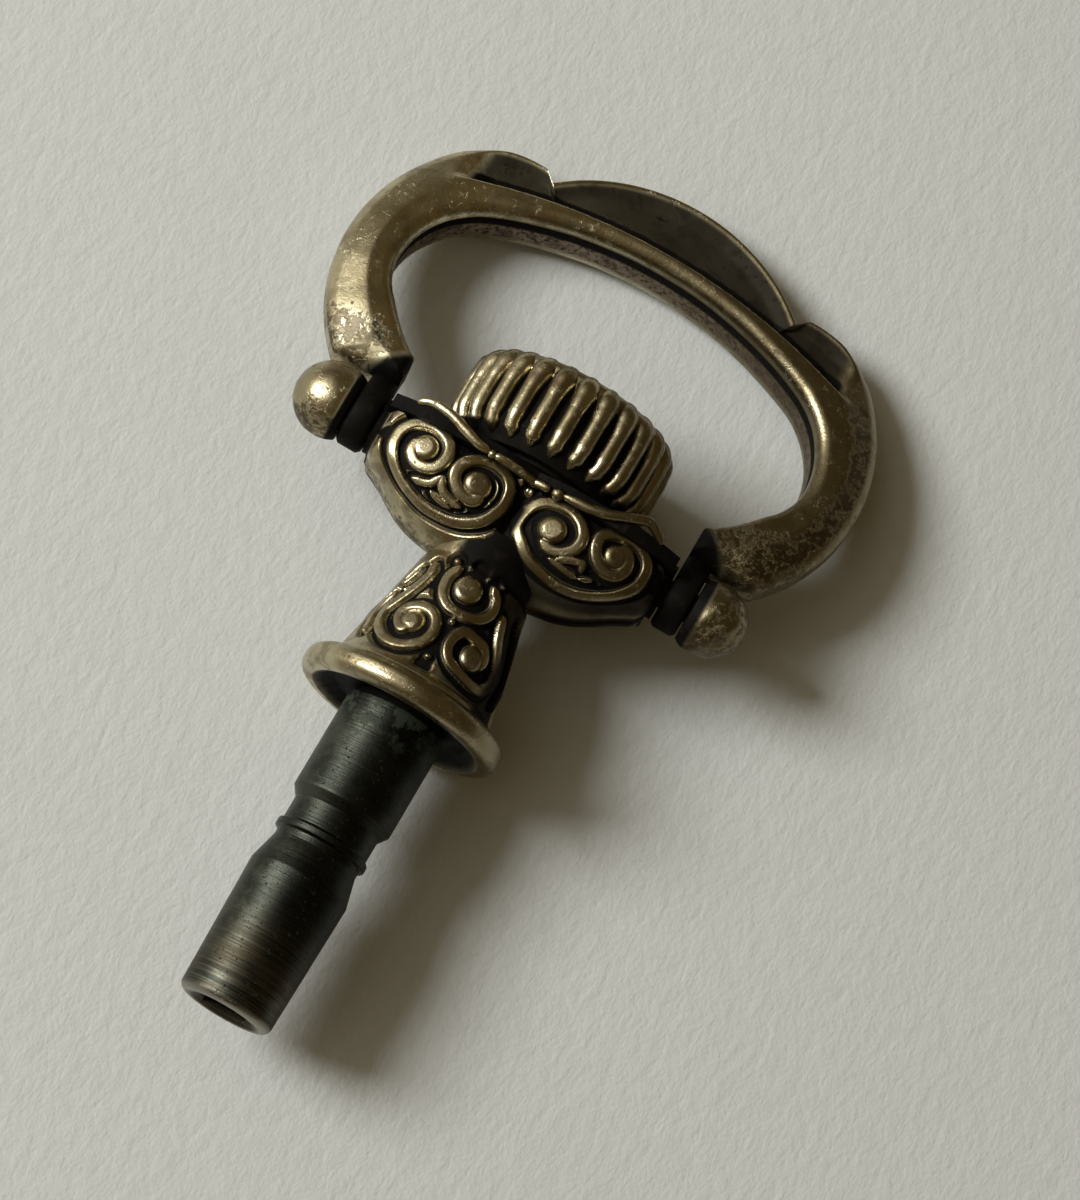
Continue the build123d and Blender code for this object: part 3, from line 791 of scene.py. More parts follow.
def head_shell(name, side, depth):
    """One cast half of the head: scrolls outside, a plain wall inside and closed rims."""
    columns, rows, inner_rows = 380, 190, 12
    x = np.linspace(-HEAD_HALF, HEAD_HALF, columns)
    front = head_lift(np.stack([x, np.full(columns, HEAD_TOP)], axis=-1))[:, 2]
    top = np.arctan2(HEAD_TOP - HEAD_AXIS, front)
    outer, dirt_and_shade, outer_stain = head_outside(head_sheet(x, top, rows), side, depth)
    inner_x = x * (HEAD_HALF - HEAD_WALL) / HEAD_HALF
    inner = sink(head_sheet(inner_x, top, inner_rows), HEAD_WALL + depth)
    points = [outer, inner]
    recess = [dirt_and_shade, np.ones(len(inner))]
    base = len(outer)
    start = wall_end = base + len(inner)
    faces = grid_faces(rows, columns) + grid_faces(inner_rows, columns, base)
    turn = -math.pi / 2 + np.linspace(0.0, 1.0, rows) * (math.pi / 2 + math.asin(HEAD_TOP / HEAD_HOLE))
    for column in (0, columns - 1):
        edge = outer[column::columns]
        hole = np.stack([edge[:, 0], HEAD_HOLE * np.sin(turn), HEAD_HOLE * np.cos(turn)], axis=-1)
        loops = [range(column, base, columns)]
        # The end faces darken towards the hole: painted shade in the gap where the bow's eye sits.
        for share, dark in ((0.34, 0.3), (0.67, 0.65), (1.0, 1.0)):
            points.append(edge + (hole - edge) * share)
            recess.append(np.full(rows, dark))
            loops.append(range(start, start + rows))
            start += rows
        loops.append(range(base + column, wall_end, columns))
        for first, second in zip(loops, loops[1:]):
            faces += zip_faces(first, second)
        faces += [tuple(loop[end] for loop in loops) for end in (0, -1)]
    faces += strip_faces(0, base, columns)
    faces += strip_faces(base - columns, wall_end - columns, columns)
    points = np.vstack(points)
    tube = np.sqrt(np.clip(TUBE_BORE**2 - points[:, 0] ** 2, 0.0, None))
    points[:, 2] = np.where(points[:, 1] < -1.5, np.maximum(points[:, 2], tube), points[:, 2])
    stain = np.zeros(len(points))
    stain[:base] = outer_stain
    marks = {"recess": np.concatenate(recess), "stain": stain}
    return new_piece(name, in_row(points * (side, 1.0, side)), faces, "gilt_brass", marks)


def neck_radius(s):
    """Radius of the neck's plain form at a height, down to the edge that meets the collar."""
    cone = 2.12 + 0.96 * np.clip(-3.2 - s, 0.0, None) / 4.65
    return cone - 0.06 * eased(s, -3.3, -3.0) + 0.06 * eased(-s, 7.45, 7.8)


def neck_lift(places):
    """Seats points of the neck's front view on its plain form."""
    x = places[:, 0]
    radius = neck_radius(places[:, 1])
    return np.stack([x, places[:, 1], np.sqrt(np.clip(radius**2 - x**2, 0.0, None))], axis=-1)


def neck_body(depth):
    """The cone of the neck with its scrolls, front and back alike."""
    columns, rows = 440, 172
    heights = np.linspace(NECK_LOW, NECK_HIGH, rows)
    turn = full_turn(columns)
    plain = np.vstack([circle(turn, radius, s) for radius, s in zip(neck_radius(heights), heights)])
    x, s, z = plain.T
    drop, dirt_and_shade = relief(plain, NECK_BANDS, NECK_BEADS, NECK_HOLLOWS, neck_lift, depth)
    ends = np.maximum(eased(s, -3.1, -2.7), eased(-s, 7.35, 7.6))
    shade = x * np.where(z < 0.0, -1.0, 1.0)
    # Painted shade: the top of the neck darkens under the head, more to the right.
    dirt_and_shade = np.maximum(dirt_and_shade * (1.0 - ends), eased(s, -3.5, -3.1) * eased(shade, -1.9, -0.5))
    dirt_and_shade = np.maximum(dirt_and_shade, 0.7 * eased(-s, 7.6, 7.8))
    # Painted shade: the right-hand side of the neck goes black.
    dirt_and_shade = np.maximum(dirt_and_shade, 0.75 * eased(shade, 1.5, 2.3))
    kept = 1.0 - drop * (1.0 - ends) / np.hypot(x, z)
    cone = np.stack([x * kept, s, z * kept], axis=-1)
    bore = [circle(turn, TUBE_BORE, end) for end in (NECK_HIGH, NECK_LOW)]
    faces = grid_faces(rows + 2, columns, closed=True)
    faces += strip_faces((rows + 1) * columns, 0, columns, closed=True)
    marks = {"recess": np.append(dirt_and_shade, np.ones(2 * columns))}
    return new_piece("neck_scrolls", in_row(np.vstack([cone, *bore])), faces, "gilt_brass", marks)


def rounded_outline(corners):
    """A dense outline through (radius, height, round) corners, each turned on an arc of its round."""
    points = []
    for index, (radius, height, bend) in enumerate(corners):
        here = np.array([radius, height])
        if bend == 0.0 or index in (0, len(corners) - 1):
            points.append(here)
            continue
        back = np.array(corners[index - 1][:2]) - here
        ahead = np.array(corners[index + 1][:2]) - here
        back /= np.linalg.norm(back)
        ahead /= np.linalg.norm(ahead)
        half = math.acos(np.clip(np.dot(back, ahead), -1.0, 1.0)) / 2
        run = bend / math.tan(half)
        start = here + back * run
        end = here + ahead * run
        support = min(0.3 * bend, 0.04)
        points.append(start + back * support)
        middle = here + (back + ahead) / np.linalg.norm(back + ahead) * bend / math.sin(half)
        for t in np.linspace(0.0, 1.0, 12):
            spot = start + (end - start) * t - middle
            points.append(middle + spot / np.linalg.norm(spot) * bend)
        points.append(end + ahead * support)
    return np.array(points)


def new_tree(name, inputs):
    """A geometry tree with the named inputs; returns its net and the inputs' fields."""
    tree = bpy.data.node_groups.new(name, "GeometryNodeTree")
    for label, kind in inputs.items():
        tree.interface.new_socket(label, in_out="INPUT", socket_type="NodeSocket" + kind)
    tree.interface.new_socket("Piece", in_out="OUTPUT", socket_type="NodeSocketGeometry")
    net = Net(tree)
    source = net.node("NodeGroupInput")
    return net, [source.output(label) for label in inputs]


def end_tree(net, shape, finish):
    """Hands out the shape of a geometry tree as one smooth mesh with its finish."""
    real = net.node("GeometryNodeRealizeInstances", {}, {0: shape})
    smooth = net.node("GeometryNodeSetShadeSmooth", {}, {0: real})
    finished = net.node("GeometryNodeSetMaterial", {}, {0: smooth, "Material": finish})
    net.node("NodeGroupOutput", {}, {0: finished})
    return net.tree


def lathe_tree():
    """Geometry nodes that turn a profile, given as points of radius and height, about the pipe's axis."""
    if "turned_piece" in bpy.data.node_groups:
        return bpy.data.node_groups["turned_piece"]
    inputs = {"Profile": "Geometry", "Segments": "Int", "Finish": "Material"}
    net, (profile, segments, finish) = new_tree("turned_piece", inputs)
    count = net.node("GeometryNodeAttributeDomainSize", {"component": "MESH"}, {0: profile})
    grid = net.node("GeometryNodeMeshGrid", {}, {0: 1.0, 1: 1.0, 2: count, 3: segments + 1})
    spot = net.node("GeometryNodeInputPosition")
    across, along, _ = spot.axes()
    index = ((across + 0.5) * (count - 1)).math("ROUND")
    turn = (along + 0.5) * (2 * math.pi)
    sample = {"data_type": "FLOAT_VECTOR", "domain": "POINT"}
    sampled = net.node("GeometryNodeSampleIndex", sample, {0: profile, 1: spot, 2: index})
    radius, height, _ = sampled.axes()
    ring = {0: radius * turn.math("SINE"), 1: height, 2: radius * turn.math("COSINE")}
    place = net.node("ShaderNodeCombineXYZ", {}, ring)
    moved = net.node("GeometryNodeSetPosition", {}, {"Geometry": grid, "Position": place})
    merged = net.node("GeometryNodeMergeByDistance", {}, {0: moved, "Distance": 1e-7})
    return end_tree(net, merged, finish)


def rib_tree():
    """Geometry nodes that sweep round ribs along lines and repeat them about the pipe's axis."""
    if "swept_ribs" in bpy.data.node_groups:
        return bpy.data.node_groups["swept_ribs"]
    inputs = {"Rib path": "Geometry", "Count": "Int", "Radius": "Float", "Finish": "Material"}
    net, (path, count, radius, finish) = new_tree("swept_ribs", inputs)
    share = net.node("GeometryNodeInputNamedAttribute", {"data_type": "FLOAT"}, {"Name": "girth"})
    girth = share * radius
    curve = net.node("GeometryNodeMeshToCurve", {}, {0: path})
    ring = net.node("GeometryNodeCurvePrimitiveCircle", {}, {"Resolution": 18, "Radius": 1.0})
    sized = net.node("GeometryNodeSetCurveRadius", {}, {0: curve, "Radius": girth})
    sweep = {"Curve": sized, "Profile Curve": ring, "Scale": girth, "Fill Caps": True}
    rib = net.node("GeometryNodeCurveToMesh", {}, sweep)
    points = net.node("GeometryNodePoints", {}, {"Count": count, "Position": (0.0, 0.0, 0.0)})
    index = net.node("GeometryNodeInputIndex")
    turn = net.node("ShaderNodeCombineXYZ", {}, {1: index * (2 * math.pi) / count})
    seats = {"Points": points, "Instance": rib, "Rotation": turn}
    return end_tree(net, net.node("GeometryNodeInstanceOnPoints", {}, seats), finish)


def bake_nodes(name, seed_mesh, tree, inputs):
    """Runs a geometry tree on a mesh and keeps the result as a plain piece."""
    carrier = bpy.data.objects.new(name + "_source", seed_mesh)
    bpy.context.scene.collection.objects.link(carrier)
    modifier = carrier.modifiers.new("shape", "NODES")
    modifier.node_group = tree
    for item in tree.interface.items_tree:
        if item.item_type == "SOCKET" and item.in_out == "INPUT" and item.name in inputs:
            modifier[item.identifier] = inputs[item.name]
    depsgraph = bpy.context.evaluated_depsgraph_get()
    mesh = bpy.data.meshes.new_from_object(carrier.evaluated_get(depsgraph), depsgraph=depsgraph)
    mesh.name = name
    bpy.data.objects.remove(carrier)
    outward(mesh)
    piece = bpy.data.objects.new(name, mesh)
    bpy.context.scene.collection.objects.link(piece)
    return piece


def turned_piece(name, corners, finish):
    """A piece turned from (radius, height, round) corners about the pipe's axis."""
    mesh = bpy.data.meshes.new(name + "_profile")
    mesh.from_pydata([(r * MM, y * MM, 0.0) for r, y in rounded_outline(corners)], [], [])
    inputs = {"Segments": ROUND_SEGMENTS, "Finish": material(finish)}
    return bake_nodes(name, mesh, lathe_tree(), inputs)


def swept_ribs(name, lines, count, radius):
    """Round ribs along (points in millimetres, girth) lines, repeated about the pipe's axis."""
    edges = []
    start = 0
    for line, _ in lines:
        edges += [(start + index, start + index + 1) for index in range(len(line) - 1)]
        start += len(line)
    points = np.vstack([line for line, _ in lines]) * MM
    mesh = bpy.data.meshes.new(name + "_path")
    mesh.from_pydata([tuple(point) for point in points], edges, [])
    mark(mesh, "girth", np.concatenate([girth for _, girth in lines]))
    inputs = {"Count": count, "Radius": radius, "Finish": material("gilt_brass")}
    return bake_nodes(name, mesh, rib_tree(), inputs)


def crown_ribs(count, radius):
    """The ribs of the crown: knobs on its base cone, then plain bars that merge in its top edge."""
    path = smooth_curve(CROWN_RIB, 0.07)
    girth = np.interp(path[:, 1], RIB_HEIGHTS, RIB_GIRTHS)
    line = np.stack([np.zeros(len(path)), path[:, 1], path[:, 0]], axis=-1)
    return swept_ribs("crown_ribs", [(line, girth)], count, radius)


def head_rim():
    """Wavy ribs and small beads along the front and back upper edges of the head."""
    lines = []
    for knots in RIM_LINES:
        path = smooth_curve(knots, 0.08)
        run = np.linspace(-1.0, 1.0, len(path))
        lines.append((path, (0.55 + 0.5 * np.sqrt(1.0 - run**4)) * RIM_RADIUS))
    for x, s, radius in RIM_BEADS:
        run = -np.cos(np.linspace(0.15, math.pi - 0.15, 13))
        path = np.stack([x + radius * run, np.full(len(run), s)], axis=-1)
        lines.append((path, radius * np.sqrt(1.0 - run**2)))
    placed = []
    for side in (1.0, -1.0):
        for path, girth in lines:
            depth = head_section(path[:, 0])[0] + RIM_LIP + 0.4 * (girth.max() - 0.15)
            spot = np.stack([side * path[:, 0], path[:, 1] + PIVOT, side * depth], axis=-1)
            placed.append((spot, girth))
    return swept_ribs("head_rim", placed, 1, MM)


def arc(centre, radius, start, end, count):
    """Points on an arc, by its angles in degrees."""
    angles = np.radians(np.linspace(start, end, count))
    return np.stack([centre[0] + radius * np.cos(angles), centre[1] + radius * np.sin(angles)], axis=-1)


def arc_through(start, through, end, count=40):
    """Points on the arc through three points."""
    (ax, ay), (bx, by), (cx, cy) = start, through, end
    d = 2 * (ax * (by - cy) + bx * (cy - ay) + cx * (ay - by))
    a, b, c = ax * ax + ay * ay, bx * bx + by * by, cx * cx + cy * cy
    ux = (a * (by - cy) + b * (cy - ay) + c * (ay - by)) / d
    uy = (a * (cx - bx) + b * (ax - cx) + c * (bx - ax)) / d
    radius = math.hypot(ax - ux, ay - uy)
    first = math.degrees(math.atan2(ay - uy, ax - ux))
    last = math.degrees(math.atan2(cy - uy, cx - ux))
    if last - first > 180:
        last -= 360
    if first - last > 180:
        last += 360
    return arc((ux, uy), radius, first, last, count)


def bow_inner_outline():
    """The right half of the bow's opening, from its top to its foot."""
    reach, rise = OPEN_HALF - SHOULDER_ROUND, OPEN_TOP - SHOULDER
    roof_radius = (reach**2 + rise**2 - SHOULDER_ROUND**2) / (2 * (rise - SHOULDER_ROUND))
    turn = 90 - math.degrees(math.acos(reach / (roof_radius - SHOULDER_ROUND)))
    roof = arc((0.0, OPEN_TOP - roof_radius), roof_radius, 90, 90 - turn, 40)
    shoulder = arc((reach, SHOULDER), SHOULDER_ROUND, 90 - turn, 0, 40)
    lower = arc((OPEN_HALF - LOWER_ROUND, SHOULDER), LOWER_ROUND, 0, -45, 20)
    knee = SHOULDER - LOWER_ROUND * math.sin(math.pi / 4) - (lower[-1][0] - FOOT_INNER)
    return np.vstack([roof, shoulder[1:], lower[1:], [(FOOT_INNER, knee), (FOOT_INNER, FOOT_LOW)]])


def bow_outer_outline():
    """The right half of the bow's outside, from the crest's top to its foot."""
    centre_lobe = arc_through((-5.15, 12.0), (0.0, 14.2), (5.15, 12.0), 81)[40:]
    half_lobe = arc_through((5.3, 12.42), (7.2, 12.2), CREST_END, 40)
    outline = [centre_lobe, half_lobe]
    run = OUTER_HALF - CREST_END[0]
    for rise in (CREST_END[1] - OUTER_MIDDLE, FOOT_LOW - OUTER_MIDDLE):
        radius = (run**2 + rise**2) / (2 * run)
        bend = math.degrees(math.asin(rise / radius))
        ends = (bend, 0) if rise > 0.0 else (0, bend)
        outline.append(arc((OUTER_HALF - radius, OUTER_MIDDLE), radius, *ends, 30)[1:])
    return np.vstack([*outline, [(FOOT_INNER, FOOT_LOW)]])


def polar_reach(outline, angle):
    """Distance from the bow's hub to an outline at each angle of the right half."""
    shifted = outline - (0.0, BOW_HUB)
    turn = np.degrees(np.arctan2(shifted[:, 1], shifted[:, 0]))
    reach = np.linalg.norm(shifted, axis=1)
    turn = np.minimum.accumulate(turn)
    return np.interp(angle, turn[::-1], reach[::-1])


def rounded_edge(distance, width, low):
    """Share of the full height near an edge, where it rises from low on a quarter round."""
    t = np.clip(distance / width, 0.0, 1.0)
    return low + (1.0 - low) * np.sqrt(1.0 - (1.0 - t) ** 2)


def bow_height(x, s, from_inner, width):
    """Half thickness, patina with painted shade at the feet, and stain of the bow at a place."""
    beyond = np.hypot(x - RIDGE_HUB[0], s - RIDGE_HUB[1]) - RIDGE_RADIUS
    out = np.abs(x)
    from_outer = width - from_inner
    lobe = 0.4 + 0.36 * eased(-from_outer, -0.8, -0.14)
    fade = 1.0 - eased(out, 6.8, 8.4)
    ridge = BOW_HALF_THICK - (BOW_HALF_THICK - lobe) * eased(beyond, -0.2, 0.14) * fade
    share = np.clip(from_inner / np.maximum(width, 1e-6), 0.0, 1.0)
    leg = np.maximum(eased(-beyond, 0.0, 0.9), 1.0 - fade)
    facet = 0.62 * np.clip((share - 0.46) / 0.54, 0.0, 1.0) ** 1.15 * leg
    height = (ridge - facet) * rounded_edge(from_inner, 0.5, 0.6)
    height *= rounded_edge(from_outer, 0.14 + 0.26 * leg, 0.45)
    height += 0.02 * np.sin(2.1 * s + 0.7 * x) * np.sin(1.7 * x - s) * leg
    groove = eased(beyond, -0.05, 0.12) * (1.0 - 0.9 * eased(beyond, 0.35, 0.85))
    dish = eased(beyond, 0.05, 0.4) * eased(from_outer, 0.08, 0.36) * 0.72
    dirt_and_shade = np.maximum(groove, dish) * (1.0 - eased(out, 7.2, 8.3))
    # Painted shade: the feet go black towards the balls and eyes.
    dirt_and_shade = np.maximum(dirt_and_shade, 0.9 * (1.0 - eased(s + 0.9 * (out - 6.2), 1.9, 3.2)))
    stain = eased(x, 7.6, 9.2) * eased(share, 0.4, 0.6) * (1.0 - eased(share, 0.8, 0.9))
    stain += eased(-x, 6.0, 8.0) * (1.0 - eased(s, 2.6, 3.6))
    stain += 0.8 * eased(x, 4.0, 6.5) * (1.0 - eased(s, 2.8, 4.2))
    return height, dirt_and_shade, np.clip(stain, 0.0, 1.0)


def bow_casting():
    """The bow: a D-shaped casting with ridge, crest and pierced eyes, hanging back by its droop."""
    stations, across, walls = 800, 44, 7
    sweep = np.linspace(*BOW_SWEEP, stations)
    folded = np.where(sweep > 90.0, 180.0 - sweep, sweep)
    inner = polar_reach(bow_inner_outline(), folded)
    outer = np.maximum(polar_reach(bow_outer_outline(), folded), inner + 0.01)
    turn = np.radians(sweep)
    share = 0.5 - 0.5 * np.cos(np.linspace(0.0, math.pi, across))
    share = 0.5 * share + 0.5 * np.linspace(0.0, 1.0, across)
    reach = inner[:, None] + (outer - inner)[:, None] * share[None, :]
    x = reach * np.cos(turn)[:, None]
    s = BOW_HUB + reach * np.sin(turn)[:, None]
    width = (outer - inner)[:, None]
    height, dirt_and_shade, stain = bow_height(x, s, share[None, :] * width, width)
    front = np.stack([x, s, height], axis=-1)
    back = np.stack([x, s, -height], axis=-1)[:, ::-1]
    down = np.linspace(0.0, 1.0, walls + 2)[1:-1]
    outer_wall = front[:, -1:] + (back[:, :1] - front[:, -1:]) * down[None, :, None]
    inner_wall = back[:, -1:] + (front[:, :1] - back[:, -1:]) * down[None, :, None]
    loop = np.concatenate([front, outer_wall, back, inner_wall], axis=1)
    wall = np.ones((stations, walls))
    wall_dirt = wall * np.interp(down, [0.0, 0.12, 0.5, 0.68, 1.0], [1.0, 0.3, 0.1, 0.95, 1.0])
    marks = {
        "recess": [dirt_and_shade, 0.0 * wall, dirt_and_shade[:, ::-1], wall_dirt],
        "stain": [stain, 0.3 * wall, stain[:, ::-1], 0.3 * wall],
        "cast": [0.0 * dirt_and_shade, 0.0 * wall, 0.0 * dirt_and_shade, wall],
    }
    columns = loop.shape[1]
    count = stations * columns
    faces = grid_faces(stations, columns, closed=True)
    faces.append(tuple(range(columns)))
    faces.append(tuple(range(count - columns, count)))
    points = [loop.reshape(-1, 3)]
    for side in (-1, 1):
        eye, eye_faces = eye_ring(side, count)
        points.append(eye)
        faces += eye_faces
        count += len(eye)
    # The eyes are drawn nearly black: painted shade in the gap between the bow, the head and the ball.
    for name, eye_mark in (("recess", 0.9), ("stain", 0.0), ("cast", 0.0)):
        eyes = np.full(count - stations * columns, eye_mark)
        marks[name] = np.append(np.concatenate(marks[name], axis=1).ravel(), eyes)
    x, s, z = np.vstack(points).T
    droop = math.radians(BOW_DROOP)
    y = s * math.cos(droop) + z * math.sin(droop)
    z = z * math.cos(droop) - s * math.sin(droop)
    return new_piece("bow_casting", in_row(np.stack([x, y, z], axis=-1)), faces, "gilt_brass", marks)


def eye_ring(side, start):
    """The flat eye at a foot of the bow, its leg running up into the foot."""
    segments = 72
    middle, half, bore, rim, bevel = 6.345, 0.475, 0.59, 1.2, 0.12
    turn = full_turn(segments)
    tall = 1.0 + 0.55 * np.clip(np.cos(turn), 0.0, 1.0) ** 1.5
    section = [
        (bore, -half), (bore, half), (rim - bevel, half),
        (rim, half - bevel), (rim, bevel - half), (rim - bevel, -half),
    ]
    points = []
    faces = []
    for row, (radius, along) in enumerate(section):
        stretch = np.where(radius > bore, tall, 1.0)
        x = np.full(segments, side * (middle + along))
        points.append(np.stack([x, radius * stretch * np.cos(turn), radius * np.sin(turn)], axis=-1))
        after = (row + 1) % len(section)
        faces += strip_faces(start + row * segments, start + after * segments, segments, closed=True)
    return np.vstack(points), faces


def pipe_tube():
    """The turned pipe with its rounded mouth and its square socket."""
    turn = full_turn(ROUND_SEGMENTS)
    square = SOCKET_HALF / np.maximum(np.abs(np.cos(turn)), np.abs(np.sin(turn)))
    rows = [circle(turn, radius, SOCKET_DEPTH) for radius in (0.0, SOCKET_FLOOR)]
    bore = [1.0, 1.0]
    for depth in (SOCKET_DEPTH, 3.0, 1.2, *np.linspace(0.5, 0.0, 12)):
        cone = MOUTH_RADIUS - (MOUTH_RADIUS - SOCKET_HALF) * depth / MOUTH_CONE
        rows.append(circle(turn, np.maximum(square, cone), depth))
        # Painted shade: the socket darkens the deeper it goes.
        bore.append(eased(depth, 0.05, 0.4))
    bright = [0.0] * len(rows)
    for radius, height in rounded_outline(PIPE_CORNERS):
        rows.append(circle(turn, radius, height))
        bore.append(0.0)
        bright.append((1.0 - eased(height, 0.02, 0.3)) * eased(radius, 1.2, 1.5))
    faces = grid_faces(len(rows), ROUND_SEGMENTS, closed=True)
    marks = {"bright": np.repeat(bright, ROUND_SEGMENTS), "bore": np.repeat(bore, ROUND_SEGMENTS)}
    return new_piece("pipe_tube", np.vstack(rows) * MM, faces, "gun_steel", marks)


def ball_terminals():
    """The two ball terminals, each turned about the pivots' axis with a flat on the eye's side."""
    pieces = []
    segments = 96
    turn = full_turn(segments)
    angles = np.radians(np.linspace(120.0, 0.0, 60))
    kinds = (("left", -1, 0.012, 0.5, 0.0), ("right", 1, 0.05, 0.75, 0.35))
    profile = [(1.0, 0.0), (1.0, BALL_BORE), (0.0, BALL_BORE)]
    profile += [(BALL_CENTRE + BALL_RADIUS * math.cos(a), BALL_RADIUS * math.sin(a)) for a in angles]
    for name, side, lumps, dark_end, wear_and_painted_light in kinds:
        rings = []
        recess = []
        for along, radius in profile:
            x = np.full(segments, BALL_FACE + along)
            wave = np.sin(3.1 * x + 2.0 * turn) * np.sin(3.0 * turn + 4.0 * along)
            reach = radius + (wave - 1.0) * lumps * float(eased(radius, 0.6, 1.0))
            rings.append(np.stack([side * x, reach * np.cos(turn), reach * np.sin(turn)], axis=-1))
            # Painted shade: each ball darkens towards its flat, in the gap by the bow's eye.
            recess.append(1.0 - eased(along, 0.1, dark_end))
        points = np.vstack(rings)
        # The back of each ball gathers stain patches, which stand for painted shade on its underside.
        under = 1.0 - eased(points[:, 2], -1.1, 0.3)
        low = eased(-points[:, 1], 0.3, 1.2) * 0.8
        marks = {"recess": np.repeat(recess, segments), "stain": np.clip(under + low + wear_and_painted_light, 0.0, 1.0)}
        faces = grid_faces(len(rings), segments, closed=True)
        pieces.append(new_piece("ball_terminal_" + name, in_row(points), faces, "gilt_brass", marks))
    return pieces


def collar_flange():
    """The collar, blackened in its dish round the pipe."""
    collar = turned_piece("collar_flange", COLLAR_CORNERS, "gilt_brass")
    spots = np.array([tuple(vertex.co) for vertex in collar.data.vertices]) / MM
    dish = 1.0 - eased(np.hypot(spots[:, 0], spots[:, 2]), 3.0, 3.5)
    mark(collar.data, "recess", dish * (1.0 - eased(spots[:, 1], 12.1, 12.3)))
    return collar


def lay_paper():
    """A wide sheet of paper that the key lies on."""
    floor = CAD_BOX[0][2] - PAPER_GAP
    corners = [(x * PAPER_HALF, y * PAPER_HALF, floor) for x, y in ((-1, -1), (1, -1), (1, 1), (-1, 1))]
    new_piece("paper_sheet", corners, [(0, 1, 2, 3)], "paper")


def hang_lamp():
    """One soft lamp from the picture's upper left."""
    lamp = bpy.data.lights.new("key_lamp", "AREA")
    lamp.shape = "DISK"
    lamp.size = LAMP_SIZE
    lamp.energy = LAMP_POWER
    lamp.color = LAMP_COLOUR
    holder = bpy.data.objects.new("key_lamp", lamp)
    aim = Vector(LAMP_WAY).normalized()
    holder.location = Vector(LIT_CENTRE) + aim * LAMP_DISTANCE
    holder.rotation_euler = aim.to_track_quat("Z", "Y").to_euler()
    bpy.context.scene.collection.objects.link(holder)


def paint_world():
    """Dim warm surroundings, brighter towards the window at the upper left."""
    world = bpy.data.worlds.new("room")
    world.use_nodes = True
    world.node_tree.nodes.clear()
    bpy.context.scene.world = world
    net = Net(world.node_tree)
    way = net.node("ShaderNodeTexCoord", output="Generated")
    aim = {"operation": "DOT_PRODUCT"}
    toward = net.node("ShaderNodeVectorMath", aim, {0: way, 1: LAMP_WAY}, output="Value")
    colour = net.mix(toward.over(0.55, 1.0), ROOM_DIM, ROOM_BRIGHT)
    light = net.node("ShaderNodeBackground", {}, {"Color": colour, "Strength": 1.0})
    net.node("ShaderNodeOutputWorld", {}, {"Surface": light})


def set_camera():
    """The camera above the key, turned so that the pipe points to the picture's lower left."""
    right = Vector(CAMERA_RIGHT).normalized()
    up = Vector(CAMERA_UP)
    up = (up - right * up.dot(right)).normalized()
    data = bpy.data.cameras.new("camera")
    data.sensor_fit = "AUTO"
    data.sensor_width = CAMERA_SENSOR
    data.lens = CAMERA_LENS
    data.clip_start, data.clip_end = CAMERA_CLIP
    camera = bpy.data.objects.new("camera", data)
    turn = Matrix((right, up, right.cross(up))).transposed().to_4x4()
    camera.matrix_world = Matrix.Translation(Vector(CAMERA_SEAT) * MM) @ turn
    bpy.context.scene.collection.objects.link(camera)
    bpy.context.scene.camera = camera


class KEY_OT_stage(bpy.types.Operator):
    """Sets the paper, the lamp, the world and the camera"""

    bl_idname = "watch_key.stage"
    bl_label = "Stage"

    def execute(self, context):
        lay_paper()
        hang_lamp()
        paint_world()
        set_camera()
        context.scene.view_settings.view_transform = "Standard"
        return {"FINISHED"}


class KEY_OT_finishes(bpy.types.Operator):
    """Gives the carried-over pieces their finishes"""

    bl_idname = "watch_key.finishes"
    bl_label = "Finishes"

    def execute(self, context):
        # Drawn all black: the end bosses as painted shade in the gap between head and ball, the top plate
        # and the washers as plain black.
        blackened = ("head_top_plate", "end_boss", "thrust_washer", "seat_washer")
        for part in frame["record"]["subparts"]:
            slots = frame["nodes"][part["node"]].data.materials
            slots.clear()
            dark = part["node"].startswith(blackened)
            slots.append(material("black_brass" if dark else part["material_slot"]))
        return {"FINISHED"}


class KEY_OT_head(bpy.types.Operator):
    """Models the two cast halves of the head with their scrolls, and the ribs on its upper edge"""

    bl_idname = "watch_key.head"
    bl_label = "Head"

    def execute(self, context):
        depth = context.scene.key_sizes.relief_depth / MM
        for name, side in (("front", 1.0), ("back", -1.0)):
            shell = head_shell("head_" + name, side, depth)
            mount(shell, "head", "gilt_brass", "head_" + name + "_shell")
        mount(head_rim(), "head", "gilt_brass")
        return {"FINISHED"}


class KEY_OT_neck(bpy.types.Operator):
    """Models the scrolled neck and the collar below it"""

    bl_idname = "watch_key.neck"
    bl_label = "Neck and collar"

    def execute(self, context):
        neck = neck_body(context.scene.key_sizes.relief_depth / MM)
        mount(neck, "head", "gilt_brass", "neck")
        mount(collar_flange(), "head", "gilt_brass", "collar")
        return {"FINISHED"}


class KEY_OT_crown(bpy.types.Operator):
    """Models the crown's shell and cap and sets its ribs all round"""

    bl_idname = "watch_key.crown"
    bl_label = "Crown"

    def execute(self, context):
        sizes = context.scene.key_sizes
        shell = turned_piece("crown_grooves", CROWN_CORNERS, "black_brass")
        mount(shell, "spindle", "gilt_brass", "crown_shell")
        mount(turned_piece("crown_cap", CAP_CORNERS, "gilt_brass"), "spindle", "gilt_brass")
        mount(crown_ribs(sizes.rib_count, sizes.rib_radius), "spindle", "gilt_brass")
        return {"FINISHED"}


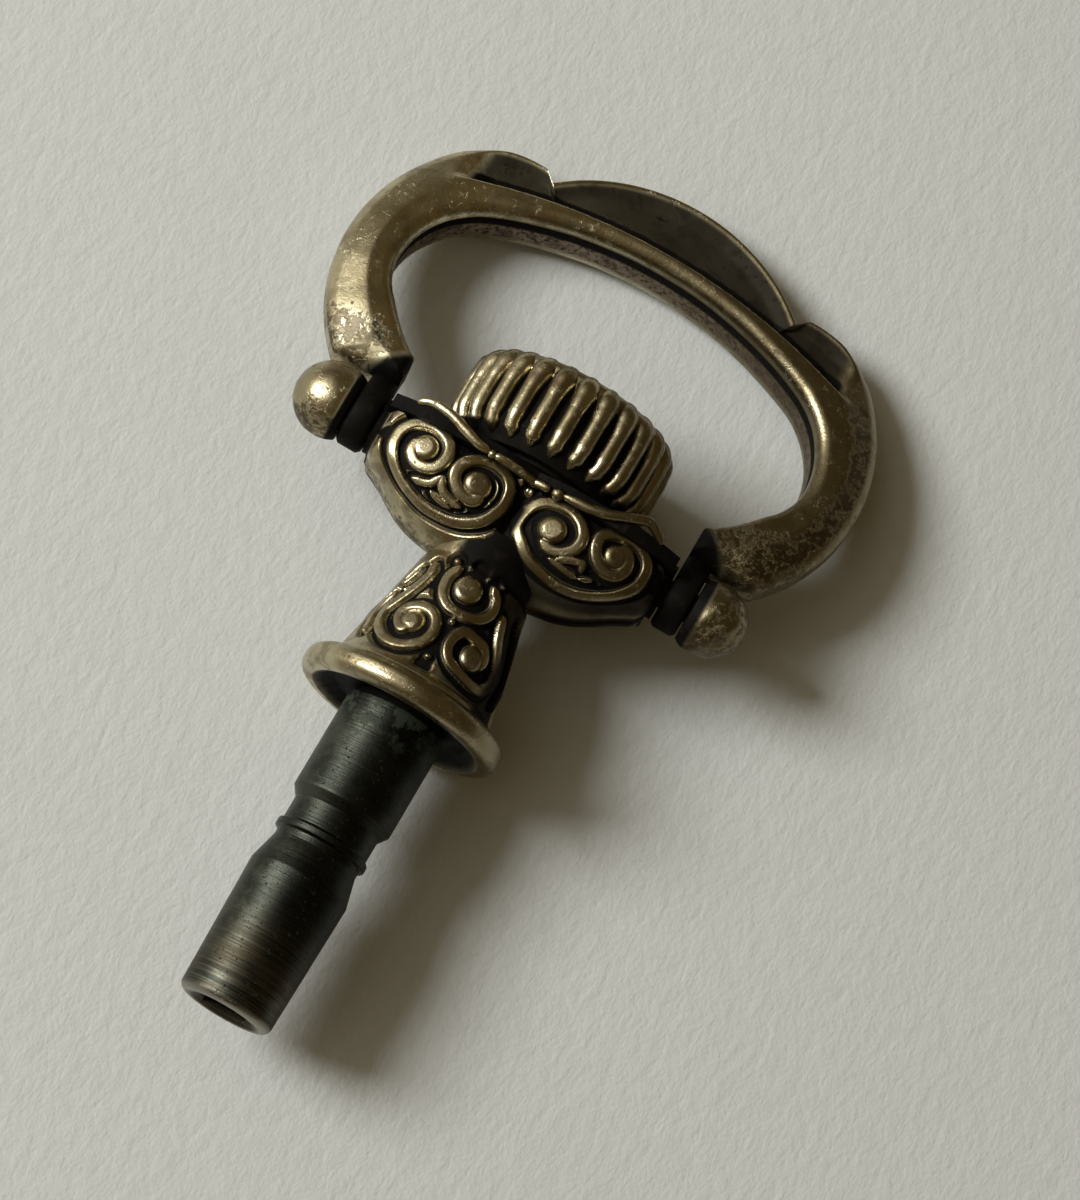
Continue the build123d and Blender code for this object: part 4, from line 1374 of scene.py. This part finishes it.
class KEY_OT_bow(bpy.types.Operator):
    """Models the casting of the bow"""

    bl_idname = "watch_key.bow"
    bl_label = "Bow"

    def execute(self, context):
        mount(bow_casting(), "bow", "gilt_brass", "bow")
        return {"FINISHED"}


class KEY_OT_pipe(bpy.types.Operator):
    """Models the turned pipe with its socket"""

    bl_idname = "watch_key.pipe"
    bl_label = "Pipe"

    def execute(self, context):
        mount(pipe_tube(), "spindle", "gun_steel", "pipe")
        return {"FINISHED"}


class KEY_OT_balls(bpy.types.Operator):
    """Models the ball terminals"""

    bl_idname = "watch_key.balls"
    bl_label = "Ball terminals"

    def execute(self, context):
        for piece in ball_terminals():
            side = piece.name.rsplit("_", 1)[1]
            mount(piece, "head", "gilt_brass", "ball_" + side)
        return {"FINISHED"}


OPERATORS = (
    KEY_OT_stage, KEY_OT_finishes, KEY_OT_head, KEY_OT_neck,
    KEY_OT_crown, KEY_OT_bow, KEY_OT_pipe, KEY_OT_balls,
)


class KEY_PT_panel(bpy.types.Panel):
    """Lists the sizes, finishes and pieces of the watch key"""

    bl_label = "Watch key"
    bl_idname = "KEY_PT_panel"
    bl_space_type = "VIEW_3D"
    bl_region_type = "UI"
    bl_category = "Watch key"

    def draw(self, context):
        for group in (context.scene.key_sizes, context.scene.key_finish):
            for name in group.__annotations__:
                self.layout.prop(group, name)
        for operator in OPERATORS:
            self.layout.operator(operator.bl_idname)


CLASSES = (KeySizes, KeyFinish, *OPERATORS, KEY_PT_panel)


def register():
    for each in CLASSES:
        bpy.utils.register_class(each)
    bpy.types.Scene.key_sizes = PointerProperty(type=KeySizes)
    bpy.types.Scene.key_finish = PointerProperty(type=KeyFinish)


def unregister():
    del bpy.types.Scene.key_sizes
    del bpy.types.Scene.key_finish
    for each in reversed(CLASSES):
        bpy.utils.unregister_class(each)


def main():
    """Makes every piece in order."""
    register()
    for operator in OPERATORS:
        group, name = operator.bl_idname.split(".")
        getattr(getattr(bpy.ops, group), name)()


if __name__ == "__main__":
    main()
